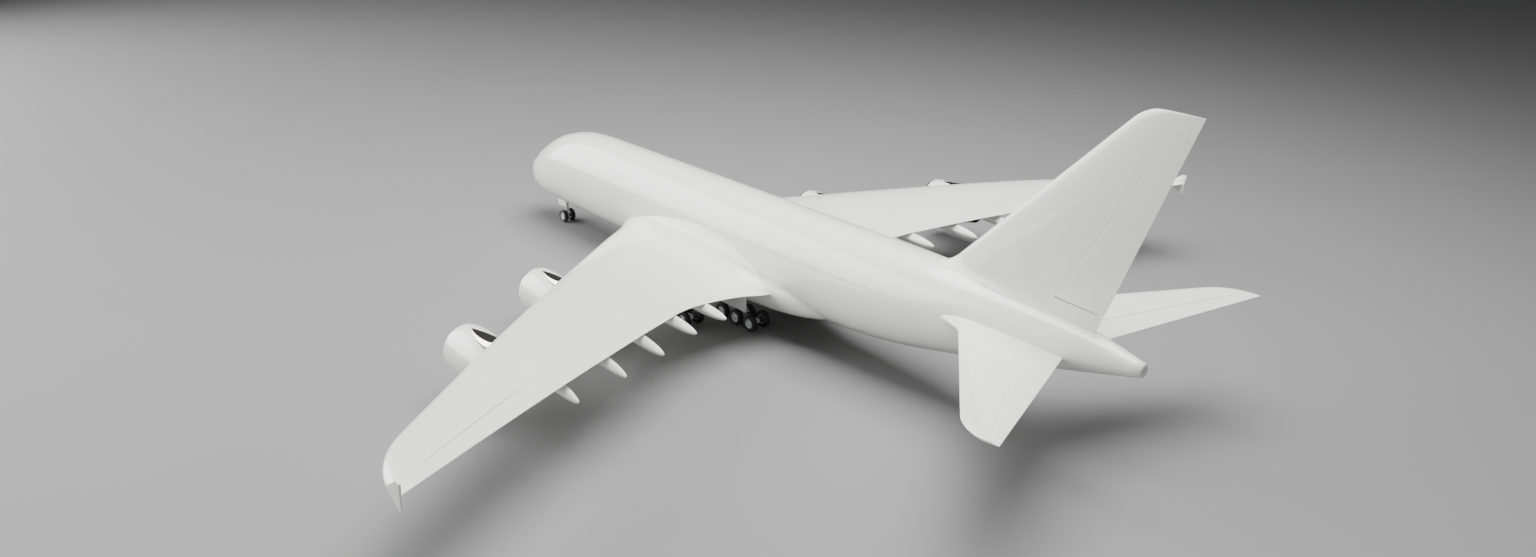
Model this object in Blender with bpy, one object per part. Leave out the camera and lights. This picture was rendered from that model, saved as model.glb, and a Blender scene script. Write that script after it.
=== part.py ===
# Double-deck four-engine airliner standing on its landing gear, made as a 1:2 scale model.
# X points to the port wing, Y aft and Z up. The origin is on the ground, under the middle of the
# airliner's box. Every size below is the full-size airliner's, in metres, and places along the body
# are stations aft of a datum ahead of the nose. SCALE turns the finished pieces into the model.

from collections import namedtuple
from math import atan2, cos, hypot, pi, radians, sin, sqrt

import bmesh
import bpy
from mathutils import Matrix, Vector

SCALE = 0.5
NOSE_STATION = 2.6
TAIL_STATION = 72.0
HALF_SPAN = 39.875
GAP = 0.0006
RUN = 0.018
END_GAP = 0.016

AFT = Vector((0.0, 1.0, 0.0))
UP = Vector((0.0, 0.0, 1.0))
PORT = Vector((1.0, 0.0, 0.0))

# Fuselage: station, half width, keel height, crown height and widest level.
FUSELAGE = (
    (2.60, 0.00, 5.15, 5.15, 5.15),
    (2.74, 0.62, 4.57, 5.62, 5.13),
    (3.03, 1.10, 4.09, 6.00, 5.08),
    (3.45, 1.53, 3.67, 6.38, 5.03),
    (4.30, 2.08, 3.27, 7.02, 5.00),
    (5.12, 2.45, 3.02, 7.64, 5.07),
    (6.38, 2.80, 2.84, 8.47, 5.27),
    (7.63, 3.04, 2.73, 9.17, 5.47),
    (9.31, 3.22, 2.65, 9.77, 5.70),
    (11.0, 3.31, 2.59, 10.14, 5.84),
    (13.0, 3.34, 2.54, 10.32, 5.90),
    (16.0, 3.35, 2.50, 10.36, 5.92),
    (44.0, 3.35, 2.46, 10.37, 5.92),
    (48.0, 3.33, 2.60, 10.39, 6.02),
    (52.0, 3.19, 3.05, 10.40, 6.30),
    (56.0, 2.88, 3.83, 10.36, 6.70),
    (60.0, 2.41, 4.76, 10.16, 7.12),
    (64.0, 1.80, 5.72, 9.76, 7.48),
    (67.5, 1.16, 6.62, 9.22, 7.76),
    (70.92, 0.46, 7.54, 8.47, 8.00),
)
FUSELAGE_RINGS = (2.68, 2.86, 3.15, 3.55, 4.10, 4.80, 5.60, 6.50, 7.60, 9.00, 10.8, 13.5,
                  21.0, 28.0, 35.0, 42.0, 45.5, 48.5, 51.5, 54.5, 57.5, 60.5, 63.5, 66.0, 68.5, 70.92)
FUSELAGE_SIDES = 24
CROWN_POWER = 2.15
KEEL_POWER = 2.0

# Belly fairing: station, half width, keel height, widest level and top height.
FAIRING = (
    (17.0, 1.45, 2.75, 3.80, 4.70),
    (19.5, 2.30, 2.28, 4.00, 5.20),
    (22.0, 3.05, 2.00, 4.15, 5.80),
    (25.5, 4.08, 1.88, 4.25, 6.30),
    (31.0, 4.12, 1.86, 4.30, 6.40),
    (37.0, 4.10, 1.88, 4.25, 6.20),
    (40.0, 3.88, 1.98, 4.15, 5.85),
    (42.5, 3.46, 2.20, 4.00, 5.40),
    (44.5, 2.85, 2.50, 3.90, 5.00),
    (46.4, 1.90, 2.95, 3.85, 4.70),
)
FAIRING_RINGS = (17.0, 18.3, 19.7, 21.3, 23.2, 26.0, 31.0, 36.0, 39.0, 41.2, 43.0, 44.5, 45.6, 46.4)
FAIRING_SIDES = 24
FAIRING_POWER = 2.5

# Wing: span, leading edge station and height, trailing edge station and height, depth over chord.
WING = (
    (2.60, 21.30, 4.25, 41.35, 4.15, 0.138),
    (4.60, 22.80, 4.56, 41.15, 4.40, 0.136),
    (6.00, 23.74, 4.72, 40.80, 4.60, 0.130),
    (8.30, 25.28, 4.92, 40.54, 4.84, 0.124),
    (10.4, 26.72, 5.07, 40.62, 5.08, 0.118),
    (12.5, 28.22, 5.24, 41.08, 5.32, 0.114),
    (14.5, 29.68, 5.42, 41.90, 5.53, 0.110),
    (17.0, 31.52, 5.65, 42.93, 5.78, 0.107),
    (20.0, 33.75, 5.91, 44.18, 6.03, 0.104),
    (25.0, 37.47, 6.30, 46.26, 6.42, 0.101),
    (30.0, 41.20, 6.60, 48.33, 6.72, 0.099),
    (36.2, 45.68, 6.70, 50.87, 7.00, 0.096),
    (39.76, 48.20, 6.70, 52.32, 7.12, 0.090),
)
WING_CAMBER = 0.012
WING_STATIONS = (2.60, 4.60, 5.20, 6.40, 8.30, 10.4, 12.5, 14.5, 17.0, 20.0, 24.0, 27.5)
WING_TIP_ROUND = (36.9, 39.78, 3.1)
WING_TIP_STATIONS = (38.3, 38.9, 39.3, 39.55, 39.70, 39.755)
WING_SKIN = 7
COVE_POINTS = 4
WALL_STEP = 0.0002
BEND_START = 0.30
ROOT_FILLET = 1.3
ROOT_WALL_TOP = 3.50
ROOT_WALL_BELOW = 4.00
AILERON = (28.6, 37.4, 0.76)

# Flap-track fairings: span, tail tip's station and height.
TRACK_FAIRINGS = (
    (9.70, 42.85, 4.52),
    (13.3, 43.75, 4.78),
    (17.4, 45.25, 5.02),
    (21.5, 46.55, 5.25),
    (26.0, 47.75, 5.50),
)
TRACK_LENGTH = 6.4
TRACK_HALF_WIDTH = 0.46
TRACK_HALF_DEPTH = 0.50
TRACK_SIDES = 8

# Wing-tip fence: its outline in stations and heights, and its thickness.
FENCE_OUTLINE = ((50.75, 6.98), (52.14, 7.98), (52.60, 7.98), (52.46, 7.05), (52.50, 6.12), (52.08, 6.20))
FENCE_THICKNESS = 0.12

# Fin and rudders: root and tip edges as stations and heights.
FIN_NOSE = ((55.60, 10.68), (68.41, 24.15))
FIN_TAIL = ((67.30, 9.35), (TAIL_STATION, 24.15))
FIN_DEPTH = (0.105, 0.095)
FIN_ROUND = (0.942, 1.0, 0.78)
FIN_FILLET = 0.90
FIN_FILLET_FOOT = 0.22
FIN_STATIONS = (-0.09, 0.0, 0.012, 0.028, 0.05)
FIN_TIP_STATIONS = (0.955, 0.975, 0.99, 1.0)
RUDDER_FOOT = 0.075
RUDDER_SPLIT = 0.520
RUDDER_TOP = 0.925
RUDDER_HINGE = 0.70
RUDDER_FOOT_GAP = 0.095

# Hinge pins of the control surfaces: their length is what each end has inside a piece.
PIN_RADIUS = 0.05
PIN_LENGTH = 0.12
PIN_SIDES = 12

# Tailplane and elevators: each edge's station and height at the origin span, with their slopes.
TAIL_ORIGIN = 9.0
TAIL_NOSE = (63.59, 0.789, 8.134, 0.092)
TAIL_TAIL = (68.78, 0.364, 8.191, 0.094)
TAIL_DEPTH = (0.105, 0.090)
TAIL_ROUND = (13.9, 15.18, 1.35)
TAIL_STATIONS = (1.20, 2.35, 2.62, 2.85, 3.10, 3.60)
TAIL_TIP_STATIONS = (14.5, 14.85, 15.05, 15.18)
TAIL_STRAKE = 3.6
ELEVATOR = (4.6, 14.0, 0.70)

# Engines: span, intake lip's station and centre height.
ENGINES = (("inner", 15.50, 25.85, 3.14), ("outer", 25.95, 33.20, 3.98))
ENGINE_SIDES = 20
DUCT_RADIUS = 1.46
NACELLE_OUTSIDE = ((0.10, 1.64), (0.45, 1.75), (1.10, 1.81), (2.10, 1.83), (3.20, 1.79),
                   (4.30, 1.65), (5.70, 1.31))
NACELLE_INSIDE = ((5.70, 1.27), (4.60, 1.40), (3.40, DUCT_RADIUS), (1.90, DUCT_RADIUS), (1.20, 1.44),
                  (0.60, 1.38), (0.12, 1.44))
NACELLE_LIP = (0.0, 1.55)
CORE_PROFILE = ((1.65, 0.42), (2.10, 0.74), (2.90, 0.92), (4.40, 0.92), (5.60, 0.78), (6.60, 0.62),
                (6.60, 0.57), (6.25, 0.55), (6.25, 0.42), (6.60, 0.40))
CORE_PLUG_TIP = 7.90
CORE_VANE_BAND = (2.10, 2.90)
CORE_VANES = 5
SPINNER_TIP = 0.72
FAN_PROFILE = ((1.14, 0.40), (1.48, 0.44))
FAN_BLADES = 24
FAN_ROOT = 0.33
FAN_TIP = 1.38
BLADE_CHORD = 0.37
BLADE_THICKNESS = 0.036
BLADE_TURN = 46.0

# Pylon ahead of the wing: distance behind the intake lip, half width, and the heights of its foot,
# shoulder and top above the engine's centre.
PYLON_NOSE = (
    (1.25, 0.03, 1.68, 1.79, 1.83),
    (2.05, 0.27, 1.60, 1.77, 1.90),
    (3.20, 0.52, 1.50, 1.66, 1.98),
    (4.40, 0.60, 1.46, 1.60, 2.12),
)
# Pylon under the wing: the same distances and heights, but its top follows the leading edge.
PYLON_TAIL = (
    (5.73, 0.50, 1.29, 1.85),
    (5.75, 0.50, 0.50, 1.85),
    (6.62, 0.40, 0.50, 1.85),
    (6.80, 0.37, 0.85, 1.85),
    (7.55, 0.27, 1.60, 1.95),
    (8.20, 0.08, 2.30, 2.33),
)

# Landing gear: wheel centre height, tyre radius at the flats, and the half profile of a twin wheel.
MAIN_WHEEL_RADIUS = 0.70
NOSE_WHEEL_RADIUS = 0.62
WHEEL_SIDES = 12
AXLE_RADIUS = 0.09
NOSE_GEAR = (0.0, 7.00)
WING_GEAR = (6.23, 33.58)
BODY_GEAR = (2.63, 36.85)
AXLE_PITCH = 1.70
BEAM_HALF = 0.17
WING_GEAR_DOOR = ((6.78, 32.50, 2.30), (6.84, 34.60, 4.60))
BODY_GEAR_DOOR = ((3.74, 35.20, 1.75), (3.80, 38.50, 3.60))


def clear_scene():
    for obj in list(bpy.data.objects):
        bpy.data.objects.remove(obj, do_unlink=True)


def collection(name):
    group = bpy.data.collections.new(name)
    bpy.context.scene.collection.children.link(group)
    return group


clear_scene()
PARTS = collection("airliner")
CUTTERS = collection("cutters")


def material(name, colour, roughness, metallic=0.0):
    finish = bpy.data.materials.new(name)
    finish.use_nodes = True
    shader = finish.node_tree.nodes["Principled BSDF"]
    shader.inputs["Base Color"].default_value = (*colour, 1.0)
    shader.inputs["Roughness"].default_value = roughness
    shader.inputs["Metallic"].default_value = metallic
    return finish


def finish_of(name, kind):
    looks = {
        "paint": ((0.76, 0.76, 0.73), 0.35, 0.0),
        "polished": ((0.72, 0.70, 0.66), 0.12, 1.0),
        "titanium": ((0.30, 0.30, 0.31), 0.30, 1.0),
        "steel": ((0.55, 0.56, 0.58), 0.32, 0.9),
        "rubber": ((0.025, 0.025, 0.027), 0.75, 0.0),
        "glass": ((0.03, 0.035, 0.04), 0.08, 0.0),
    }
    colour, roughness, metallic = looks[kind]
    return material(name + "_finish", colour, roughness, metallic)


def smooth_value(table, column, at):
    """Monotone cubic through one column of a table, which never overshoots its own points."""
    knots = [row[0] for row in table]
    values = [row[column] for row in table]
    if at <= knots[0]:
        return values[0]
    if at >= knots[-1]:
        return values[-1]
    steps = [knots[i + 1] - knots[i] for i in range(len(knots) - 1)]
    slopes = [(values[i + 1] - values[i]) / steps[i] for i in range(len(steps))]
    tangents = [slopes[0]]
    for before, after, h0, h1 in zip(slopes, slopes[1:], steps, steps[1:]):
        if before * after <= 0.0:
            tangents.append(0.0)
        else:
            w0 = 2.0 * h1 + h0
            w1 = h1 + 2.0 * h0
            tangents.append((w0 + w1) / (w0 / before + w1 / after))
    tangents.append(slopes[-1])
    i = max(k for k in range(len(steps)) if knots[k] <= at)
    h = steps[i]
    t = (at - knots[i]) / h
    return ((2 * t ** 3 - 3 * t ** 2 + 1) * values[i] + (t ** 3 - 2 * t ** 2 + t) * h * tangents[i]
            + (3 * t ** 2 - 2 * t ** 3) * values[i + 1] + (t ** 3 - t ** 2) * h * tangents[i + 1])


def mix(a, b, t):
    return a + (b - a) * t


def spaced(first, last, count):
    return [first + (last - first) * k / (count - 1) for k in range(count)]


def signed_power(value, power):
    return (abs(value) ** power) * (1.0 if value >= 0.0 else -1.0)


# Making objects

def add_object(name, bm, group=PARTS, kind="paint", pivot=None):
    """Turn a bmesh into an object whose origin lies on its joint's axis."""
    bmesh.ops.remove_doubles(bm, verts=bm.verts, dist=1e-5)
    bmesh.ops.recalc_face_normals(bm, faces=bm.faces)
    bmesh.ops.triangulate(bm, faces=bm.faces, quad_method="FIXED", ngon_method="BEAUTY")
    mesh = bpy.data.meshes.new(name)
    bm.to_mesh(mesh)
    bm.free()
    obj = bpy.data.objects.new(name, mesh)
    group.objects.link(obj)
    if group is CUTTERS:
        obj.hide_render = True
        obj.display_type = "WIRE"
    else:
        mesh.materials.append(finish_of(name, kind))
    if pivot is not None:
        obj["pivot"] = tuple(pivot)
    return obj


def loft(rings, start=None, end=None):
    """Skin rings of equal counts; a start or end point closes that side as a cone, else a flat cap.

    A face's first corner sets its diagonal, which is mirrored from port to starboard.
    """
    bm = bmesh.new()
    loops = [[bm.verts.new(point) for point in ring] for ring in rings]
    for near, far in zip(loops, loops[1:]):
        for k in range(len(near)):
            after = (k + 1) % len(near)
            corners = (near[k], near[after], far[after], far[k])
            if near[k].co.x + near[after].co.x < 0.0:
                corners = corners[1:] + corners[:1]
            bm.faces.new(corners)
    for loop, point in ((loops[0], start), (loops[-1], end)):
        if point is None:
            bm.faces.new(loop)
        else:
            tip = bm.verts.new(point)
            for k in range(len(loop)):
                bm.faces.new((loop[k], loop[(k + 1) % len(loop)], tip))
    return bm


def turned(profile, sides, start=None, end=None, centre=Vector((0.0, 0.0, 0.0)), axis="Y"):
    """Turn a profile of (along, radius) about an axis; without end points the profile closes on itself."""
    def ring(along, radius):
        points = []
        for k in range(sides):
            angle = 2.0 * pi * (k + 0.5) / sides
            if axis == "Y":
                points.append(centre + Vector((radius * sin(angle), along, radius * cos(angle))))
            elif axis == "X":
                points.append(centre + Vector((along, radius * sin(angle), radius * cos(angle))))
            else:
                points.append(centre + Vector((radius * cos(angle), radius * sin(angle), along)))
        return points

    rings = [ring(along, radius) for along, radius in profile]
    direction = {"X": PORT, "Y": AFT, "Z": UP}[axis]
    if start is None and end is None:
        bm = loft(rings)
        bmesh.ops.delete(bm, geom=[f for f in bm.faces if len(f.verts) == sides], context="FACES_ONLY")
        bm.verts.ensure_lookup_table()
        first = bm.verts[:sides]
        last = bm.verts[-sides:]
        for k in range(sides):
            after = (k + 1) % sides
            bm.faces.new((last[k], last[after], first[after], first[k]))
        return bm
    return loft(rings, centre + direction * start, centre + direction * end)


def box(low, high):
    bm = bmesh.new()
    bmesh.ops.create_cube(bm, size=1.0)
    low = Vector(low)
    high = Vector(high)
    for vert in bm.verts:
        vert.co = Vector([mix(low[k], high[k], vert.co[k] + 0.5) for k in range(3)])
    return bm


def rod(start, end, radius, sides=12, turned_by=0.0):
    """A round bar between two points, turned about its own length."""
    bm = bmesh.new()
    start = Vector(start)
    end = Vector(end)
    along = end - start
    bmesh.ops.create_cone(bm, cap_ends=True, segments=sides, radius1=radius, radius2=radius,
                          depth=along.length)
    turn = along.to_track_quat("Z", "Y").to_matrix().to_4x4() @ Matrix.Rotation(turned_by, 4, "Z")
    bmesh.ops.transform(bm, matrix=Matrix.Translation((start + end) / 2) @ turn, verts=bm.verts)
    return bm


def combine(obj, tool, operation):
    modifier = obj.modifiers.new(operation.lower(), "BOOLEAN")
    modifier.object = tool
    modifier.operation = operation
    modifier.solver = "EXACT"
    graph = bpy.context.evaluated_depsgraph_get()
    result = bpy.data.meshes.new_from_object(obj.evaluated_get(graph))
    obj.modifiers.remove(modifier)
    spent = obj.data
    obj.data = result
    bpy.data.meshes.remove(spent)


def cut(obj, *tools):
    for tool in tools:
        combine(obj, tool, "DIFFERENCE")


def join(obj, *shapes):
    for shape in shapes:
        tool = add_object("joined", shape, CUTTERS)
        combine(obj, tool, "UNION")
        bpy.data.objects.remove(tool)


def mirrored(obj, name):
    """The starboard twin of a port piece, with its own mesh and material."""
    bm = bmesh.new()
    bm.from_mesh(obj.data)
    bmesh.ops.scale(bm, vec=(-1.0, 1.0, 1.0), verts=bm.verts)
    bmesh.ops.reverse_faces(bm, faces=bm.faces)
    mesh = bpy.data.meshes.new(name)
    bm.to_mesh(mesh)
    bm.free()
    twin = bpy.data.objects.new(name, mesh)
    PARTS.objects.link(twin)
    finish = obj.data.materials[0].copy()
    finish.name = name + "_finish"
    mesh.materials.clear()
    mesh.materials.append(finish)
    if "pivot" in obj:
        x, y, z = obj["pivot"]
        twin["pivot"] = (-x, y, z)
    return twin


# Fuselage and belly fairing

def oval(aft, half_width, keel, crown, level, sides, powers, grow=0.0):
    """One cross-section: an upper and a lower superellipse that meet at the widest level."""
    points = []
    for k in range(sides):
        angle = 2.0 * pi * (k + 0.5) / sides
        upper = sin(angle) >= 0.0
        power = 2.0 / powers[0 if upper else 1]
        rise = (crown - level if upper else level - keel) + grow
        points.append(Vector(((half_width + grow) * signed_power(cos(angle), power), aft,
                              level + rise * signed_power(sin(angle), power))))
    return points


def body_ring(table, aft, sides, powers, grow=0.0):
    half_width, keel, crown, level = [smooth_value(table, column, aft) for column in (1, 2, 3, 4)]
    return oval(aft, half_width, keel, crown, level, sides, powers, grow)


def fuselage_shape(grow=0.0, rings=FUSELAGE_RINGS):
    powers = (CROWN_POWER, KEEL_POWER)
    nose = Vector((0.0, NOSE_STATION - grow, FUSELAGE[0][4]))
    shapes = [body_ring(FUSELAGE, aft, FUSELAGE_SIDES, powers, grow) for aft in rings]
    tail = smooth_value(FUSELAGE, 4, rings[-1])
    return loft(shapes, nose, Vector((0.0, rings[-1] + max(grow, 0.0), tail)))


def fairing_shape(grow=0.0):
    table = [(row[0], row[1], row[2], row[4], row[3]) for row in FAIRING]
    powers = (FAIRING_POWER, FAIRING_POWER)
    return loft([body_ring(table, aft, FAIRING_SIDES, powers, grow) for aft in FAIRING_RINGS])


# Wings and tail surfaces

Section = namedtuple("Section", "nose tail depth camber normal swell_top swell_below")
Hinge = namedtuple("Hinge", "section_at share low high first last")
Plane = namedtuple("Plane", "at centre across normal along face radius")


def section_depth(section, share):
    """Half thickness at a share of the chord, with a thin blunt trailing edge."""
    shape = 5.0 * (0.2969 * sqrt(share) - 0.1260 * share - 0.3516 * share ** 2
                   + 0.2843 * share ** 3 - 0.1036 * share ** 4)
    return section.depth * (section.tail - section.nose).length * shape + 0.012 * share


def skin_point(section, share, side, grow=0.0):
    chord = section.tail - section.nose
    rise = section.camber * chord.length * 4.0 * share * (1.0 - share)
    swell = section.swell_top if side > 0 else section.swell_below
    bulge = swell * max(sin(pi * share), 0.0) ** 0.4
    depth = section_depth(section, share) + bulge + grow
    return section.nose + chord * share + section.normal * (rise + side * depth)


def make_hinge(section_at, low, high, share):
    """A straight hinge line through the sections at both ends of a control surface."""
    ends = []
    for at in (low, high):
        section = section_at(at)
        chord = section.tail - section.nose
        rise = section.camber * chord.length * 4.0 * share * (1.0 - share)
        ends.append(section.nose + chord * share + section.normal * rise)
    return Hinge(section_at, share, low, high, ends[0], ends[1])


def on_hinge(hinge, at):
    return mix(hinge.first, hinge.last, (at - hinge.low) / (hinge.high - hinge.low))


def hinge_plane(hinge, at, square=True):
    """The plane of a ring through a hinge: square to the hinge line, or along the section there."""
    section = hinge.section_at(at)
    along = (hinge.last - hinge.first).normalized()
    chord = (section.tail - section.nose).normalized()
    across = (chord - along * chord.dot(along)).normalized()
    normal = along.cross(across)
    if normal.dot(section.normal) < 0.0:
        normal = -normal
    face = along if square else along - across * (chord.dot(along) / chord.dot(across))
    return Plane(at, on_hinge(hinge, at), across, normal, along, face.normalized(),
                 section_depth(section, hinge.share))


def plane_span(hinge, plane, share, side):
    """Where along the surface one of its lengthwise lines crosses a ring's plane."""
    step = 0.01 * (hinge.high - hinge.low)
    at = plane.at
    for _ in range(6):
        here = (skin_point(hinge.section_at(at), share, side) - plane.centre).dot(plane.face)
        there = (skin_point(hinge.section_at(at + step), share, side) - plane.centre).dot(plane.face)
        at -= here * step / (there - here)
    return at


def hinge_arc(plane, radius, first, last, count):
    """Points round the hinge from one angle to another, slid along it into the ring's plane."""
    points = []
    for angle in spaced(first, last, count):
        offset = (plane.normal * sin(angle) - plane.across * cos(angle)) * radius
        points.append(plane.centre + offset - plane.along * (offset.dot(plane.face) / plane.along.dot(plane.face)))
    return points


def lip_of(hinge, plane, radius, side):
    """Share and angle at which the cove's round wall comes through the skin ahead of the hinge."""
    share = hinge.share
    while True:
        share -= 0.0005
        at = plane_span(hinge, plane, share, side)
        offset = skin_point(hinge.section_at(at), share, side) - plane.centre
        ahead = -offset.dot(plane.across)
        height = offset.dot(plane.normal)
        if hypot(ahead, height) >= radius:
            return share, atan2(height, ahead)


def bent_point(hinge, plane, share, side):
    """A skin point that leaves its own section towards the tail for the ring's plane."""
    bend = min(max((share - BEND_START) / (hinge.share - BEND_START), 0.0), 1.0)
    if bend == 0.0:
        return skin_point(hinge.section_at(plane.at), share, side)
    at = mix(plane.at, plane_span(hinge, plane, share, side), bend * bend * (3.0 - 2.0 * bend))
    return skin_point(hinge.section_at(at), share, side)


def outline(points_at, tops, nose, count):
    """Skin points from the upper end round the nose to the lower one."""
    rows = []
    for top, side in zip(tops, (1, -1)):
        rows.append([points_at(top * (1.0 - cos(pi / 2.0 * k / count)), side) for k in range(1, count + 1)])
    return rows[0][::-1] + [nose] + rows[1]


def tail_points(points_at):
    """Points up the blunt trailing edge."""
    below, above = [points_at(1.0, side) for side in (-1, 1)]
    return [mix(below, above, k / (COVE_POINTS - 1)) for k in range(COVE_POINTS)]


def plain_ring(section, skin_end, grow=0.0):
    def points_at(share, side):
        return skin_point(section, share, side, grow)

    nose = section.nose - (section.tail - section.nose).normalized() * grow
    return outline(points_at, (skin_end, skin_end), nose, WING_SKIN) + tail_points(points_at)


def hinged_ring(hinge, plane, hollow):
    """A ring through the hinge; a hollow one ends in a round cove for the moving surface."""
    def points_at(share, side):
        return bent_point(hinge, plane, share, side)

    radius = plane.radius + RUN
    (upper, first), (lower, last) = [lip_of(hinge, plane, radius, side) for side in (1, -1)]
    skin = outline(points_at, (upper, lower), hinge.section_at(plane.at).nose, WING_SKIN)
    if not hollow:
        return skin + tail_points(points_at)
    step = (last - first) / (COVE_POINTS + 1)
    return skin + hinge_arc(plane, radius / cos(step / 2.0), last - step, first + step, COVE_POINTS)


def fixed_rings(hinge, inner, outer, foot_square=True):
    """Rings along a surface with a notch for its moving parts between upright end walls."""
    step = WALL_STEP * (hinge.high - hinge.low)
    marks = ((hinge.low, foot_square, False), (hinge.low + step, foot_square, True),
             ((hinge.low + hinge.high) / 2.0, True, True), (hinge.high - step, True, True),
             (hinge.high, True, False))
    rings = [plain_ring(hinge.section_at(at), hinge.share) for at in inner]
    rings += [hinged_ring(hinge, hinge_plane(hinge, at, square), hollow) for at, square, hollow in marks]
    return rings + [plain_ring(hinge.section_at(at), hinge.share) for at in outer]


def moving_ring(hinge, plane, skins=4, arc=5):
    """The outline of a control surface: a round nose about the hinge and the skins behind it."""
    shares = [mix(hinge.share, 1.0, k / skins) for k in range(1, skins + 1)]
    upper, lower = [[skin_point(hinge.section_at(plane_span(hinge, plane, share, side)), share, side)
                     for share in shares] for side in (1, -1)]
    return upper[::-1] + hinge_arc(plane, plane.radius, pi / 2.0, -pi / 2.0, arc + 1) + lower


def control_surface(name, hinge, low, high, gaps, foot_square=True):
    """A moving surface between two places on its hinge, held back from them by the gaps."""
    reach = (hinge.last - hinge.first).length / (hinge.high - hinge.low)
    first = low + gaps[0] / reach
    last = high - gaps[1] / reach
    middle = (first + last) / 2.0
    planes = [hinge_plane(hinge, first, foot_square), hinge_plane(hinge, middle), hinge_plane(hinge, last)]
    return add_object(name, loft([moving_ring(hinge, plane) for plane in planes]), pivot=on_hinge(hinge, middle))


def seat_pin(moving, fixed, hinge, wall, inward, gap):
    """A pin from the end of a control surface into a bore in the fixed wall beside it."""
    along = (hinge.last - hinge.first).normalized() * inward
    outer = on_hinge(hinge, wall)
    start = outer + along * (gap + PIN_LENGTH)
    stop = outer - along * PIN_LENGTH
    join(moving, rod(start, stop, PIN_RADIUS, PIN_SIDES))
    bore_radius = (PIN_RADIUS + GAP) / cos(pi / PIN_SIDES)
    bore = rod(start, stop - along * GAP, bore_radius, PIN_SIDES, pi / PIN_SIDES)
    cut(fixed, add_object("pin_bore", bore, CUTTERS))


def fillet(distance, radius):
    """How far a fillet of this radius stands out at a distance from the wall."""
    if distance >= radius:
        return 0.0
    inside = radius - max(distance, 0.04 * radius)
    return radius - sqrt(radius ** 2 - inside ** 2)


def round_off(at, start, end, reach):
    """How far an elliptical tip corner has swept an edge aft."""
    if at <= start:
        return 0.0
    t = min((at - start) / (end - start), 0.995)
    return reach * (1.0 - sqrt(1.0 - t * t))


def wing_section(span):
    nose = Vector((span, smooth_value(WING, 1, span), smooth_value(WING, 2, span)))
    tail = Vector((span, smooth_value(WING, 3, span), smooth_value(WING, 4, span)))
    swell_top = fillet(span - ROOT_WALL_TOP, ROOT_FILLET)
    swell_below = fillet(span - ROOT_WALL_BELOW, ROOT_FILLET) * 0.6
    nose.y -= (swell_top + swell_below) / 2.0
    nose.y += round_off(span, *WING_TIP_ROUND)
    chord = tail - nose
    normal = Vector((0.0, -chord.z, chord.y)).normalized()
    return Section(nose, tail, smooth_value(WING, 5, span), WING_CAMBER, normal, swell_top, swell_below)


def fin_section(height):
    """A section of the fin at a share of its height."""
    nose = Vector((0.0, mix(FIN_NOSE[0][0], FIN_NOSE[1][0], height), mix(FIN_NOSE[0][1], FIN_NOSE[1][1], height)))
    tail = Vector((0.0, mix(FIN_TAIL[0][0], FIN_TAIL[1][0], height), mix(FIN_TAIL[0][1], FIN_TAIL[1][1], height)))
    swell = fillet(height * (FIN_NOSE[1][1] - FIN_NOSE[0][1]) + FIN_FILLET_FOOT, FIN_FILLET)
    nose.y -= swell
    nose.y += round_off(height, *FIN_ROUND)
    return Section(nose, tail, mix(FIN_DEPTH[0], FIN_DEPTH[1], height), 0.0, PORT, swell * 0.7, swell * 0.7)


def tail_section(span):
    out = span - TAIL_ORIGIN
    nose = Vector((span, TAIL_NOSE[0] + TAIL_NOSE[1] * out, TAIL_NOSE[2] + TAIL_NOSE[3] * out))
    tail = Vector((span, TAIL_TAIL[0] + TAIL_TAIL[1] * out, TAIL_TAIL[2] + TAIL_TAIL[3] * out))
    if span < TAIL_STRAKE:
        nose.y -= 1.9 * (TAIL_STRAKE - span) ** 2
    nose.y += round_off(span, *TAIL_ROUND)
    chord = tail - nose
    normal = Vector((0.0, -chord.z, chord.y)).normalized()
    share = span / TAIL_ROUND[1]
    return Section(nose, tail, mix(TAIL_DEPTH[0], TAIL_DEPTH[1], share), 0.0, normal, 0.0, 0.0)


def track_fairing(span, tip_aft, tip_height):
    """A canoe-shaped fairing under the wing that runs to a point behind the trailing edge."""
    section = wing_section(span)
    front = Vector((span, tip_aft - TRACK_LENGTH, skin_point(section, 0.62, -1).z - 0.02))
    tip = Vector((span, tip_aft, tip_height))
    rings = []
    for t in (0.06, 0.20, 0.42, 0.64, 0.82, 0.95):
        centre = mix(front, tip, t)
        fullness = sin(pi * t ** 0.85) ** 0.62
        ring = []
        for k in range(TRACK_SIDES):
            angle = 2.0 * pi * (k + 0.5) / TRACK_SIDES
            ring.append(centre + Vector((TRACK_HALF_WIDTH * fullness * cos(angle), 0.0,
                                         TRACK_HALF_DEPTH * fullness * sin(angle))))
        rings.append(ring)
    return loft(rings, front, tip)


def make_wing(body_tools):
    hinge = make_hinge(wing_section, *AILERON)
    wing = add_object("wing_port", loft(fixed_rings(hinge, WING_STATIONS, WING_TIP_STATIONS)))
    for place in TRACK_FAIRINGS:
        join(wing, track_fairing(*place))
    cut(wing, *body_tools)
    aileron = control_surface("aileron_port", hinge, hinge.low, hinge.high, (END_GAP, END_GAP))
    seat_pin(aileron, wing, hinge, hinge.low, 1.0, END_GAP)
    seat_pin(aileron, wing, hinge, hinge.high, -1.0, END_GAP)
    mirrored(wing, "wing_starboard")
    mirrored(aileron, "aileron_starboard")
    grown = [plain_ring(wing_section(at), hinge.share, GAP) for at in WING_STATIONS]
    return add_object("wing_clearance", loft(grown), CUTTERS)


def make_fence():
    outer = HALF_SPAN
    inner = HALF_SPAN - FENCE_THICKNESS
    rings = [[Vector((x, aft, height)) for aft, height in FENCE_OUTLINE] for x in (inner + GAP, outer)]
    fence = add_object("tip_fence_port", loft(rings))
    mirrored(fence, "tip_fence_starboard")


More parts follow.
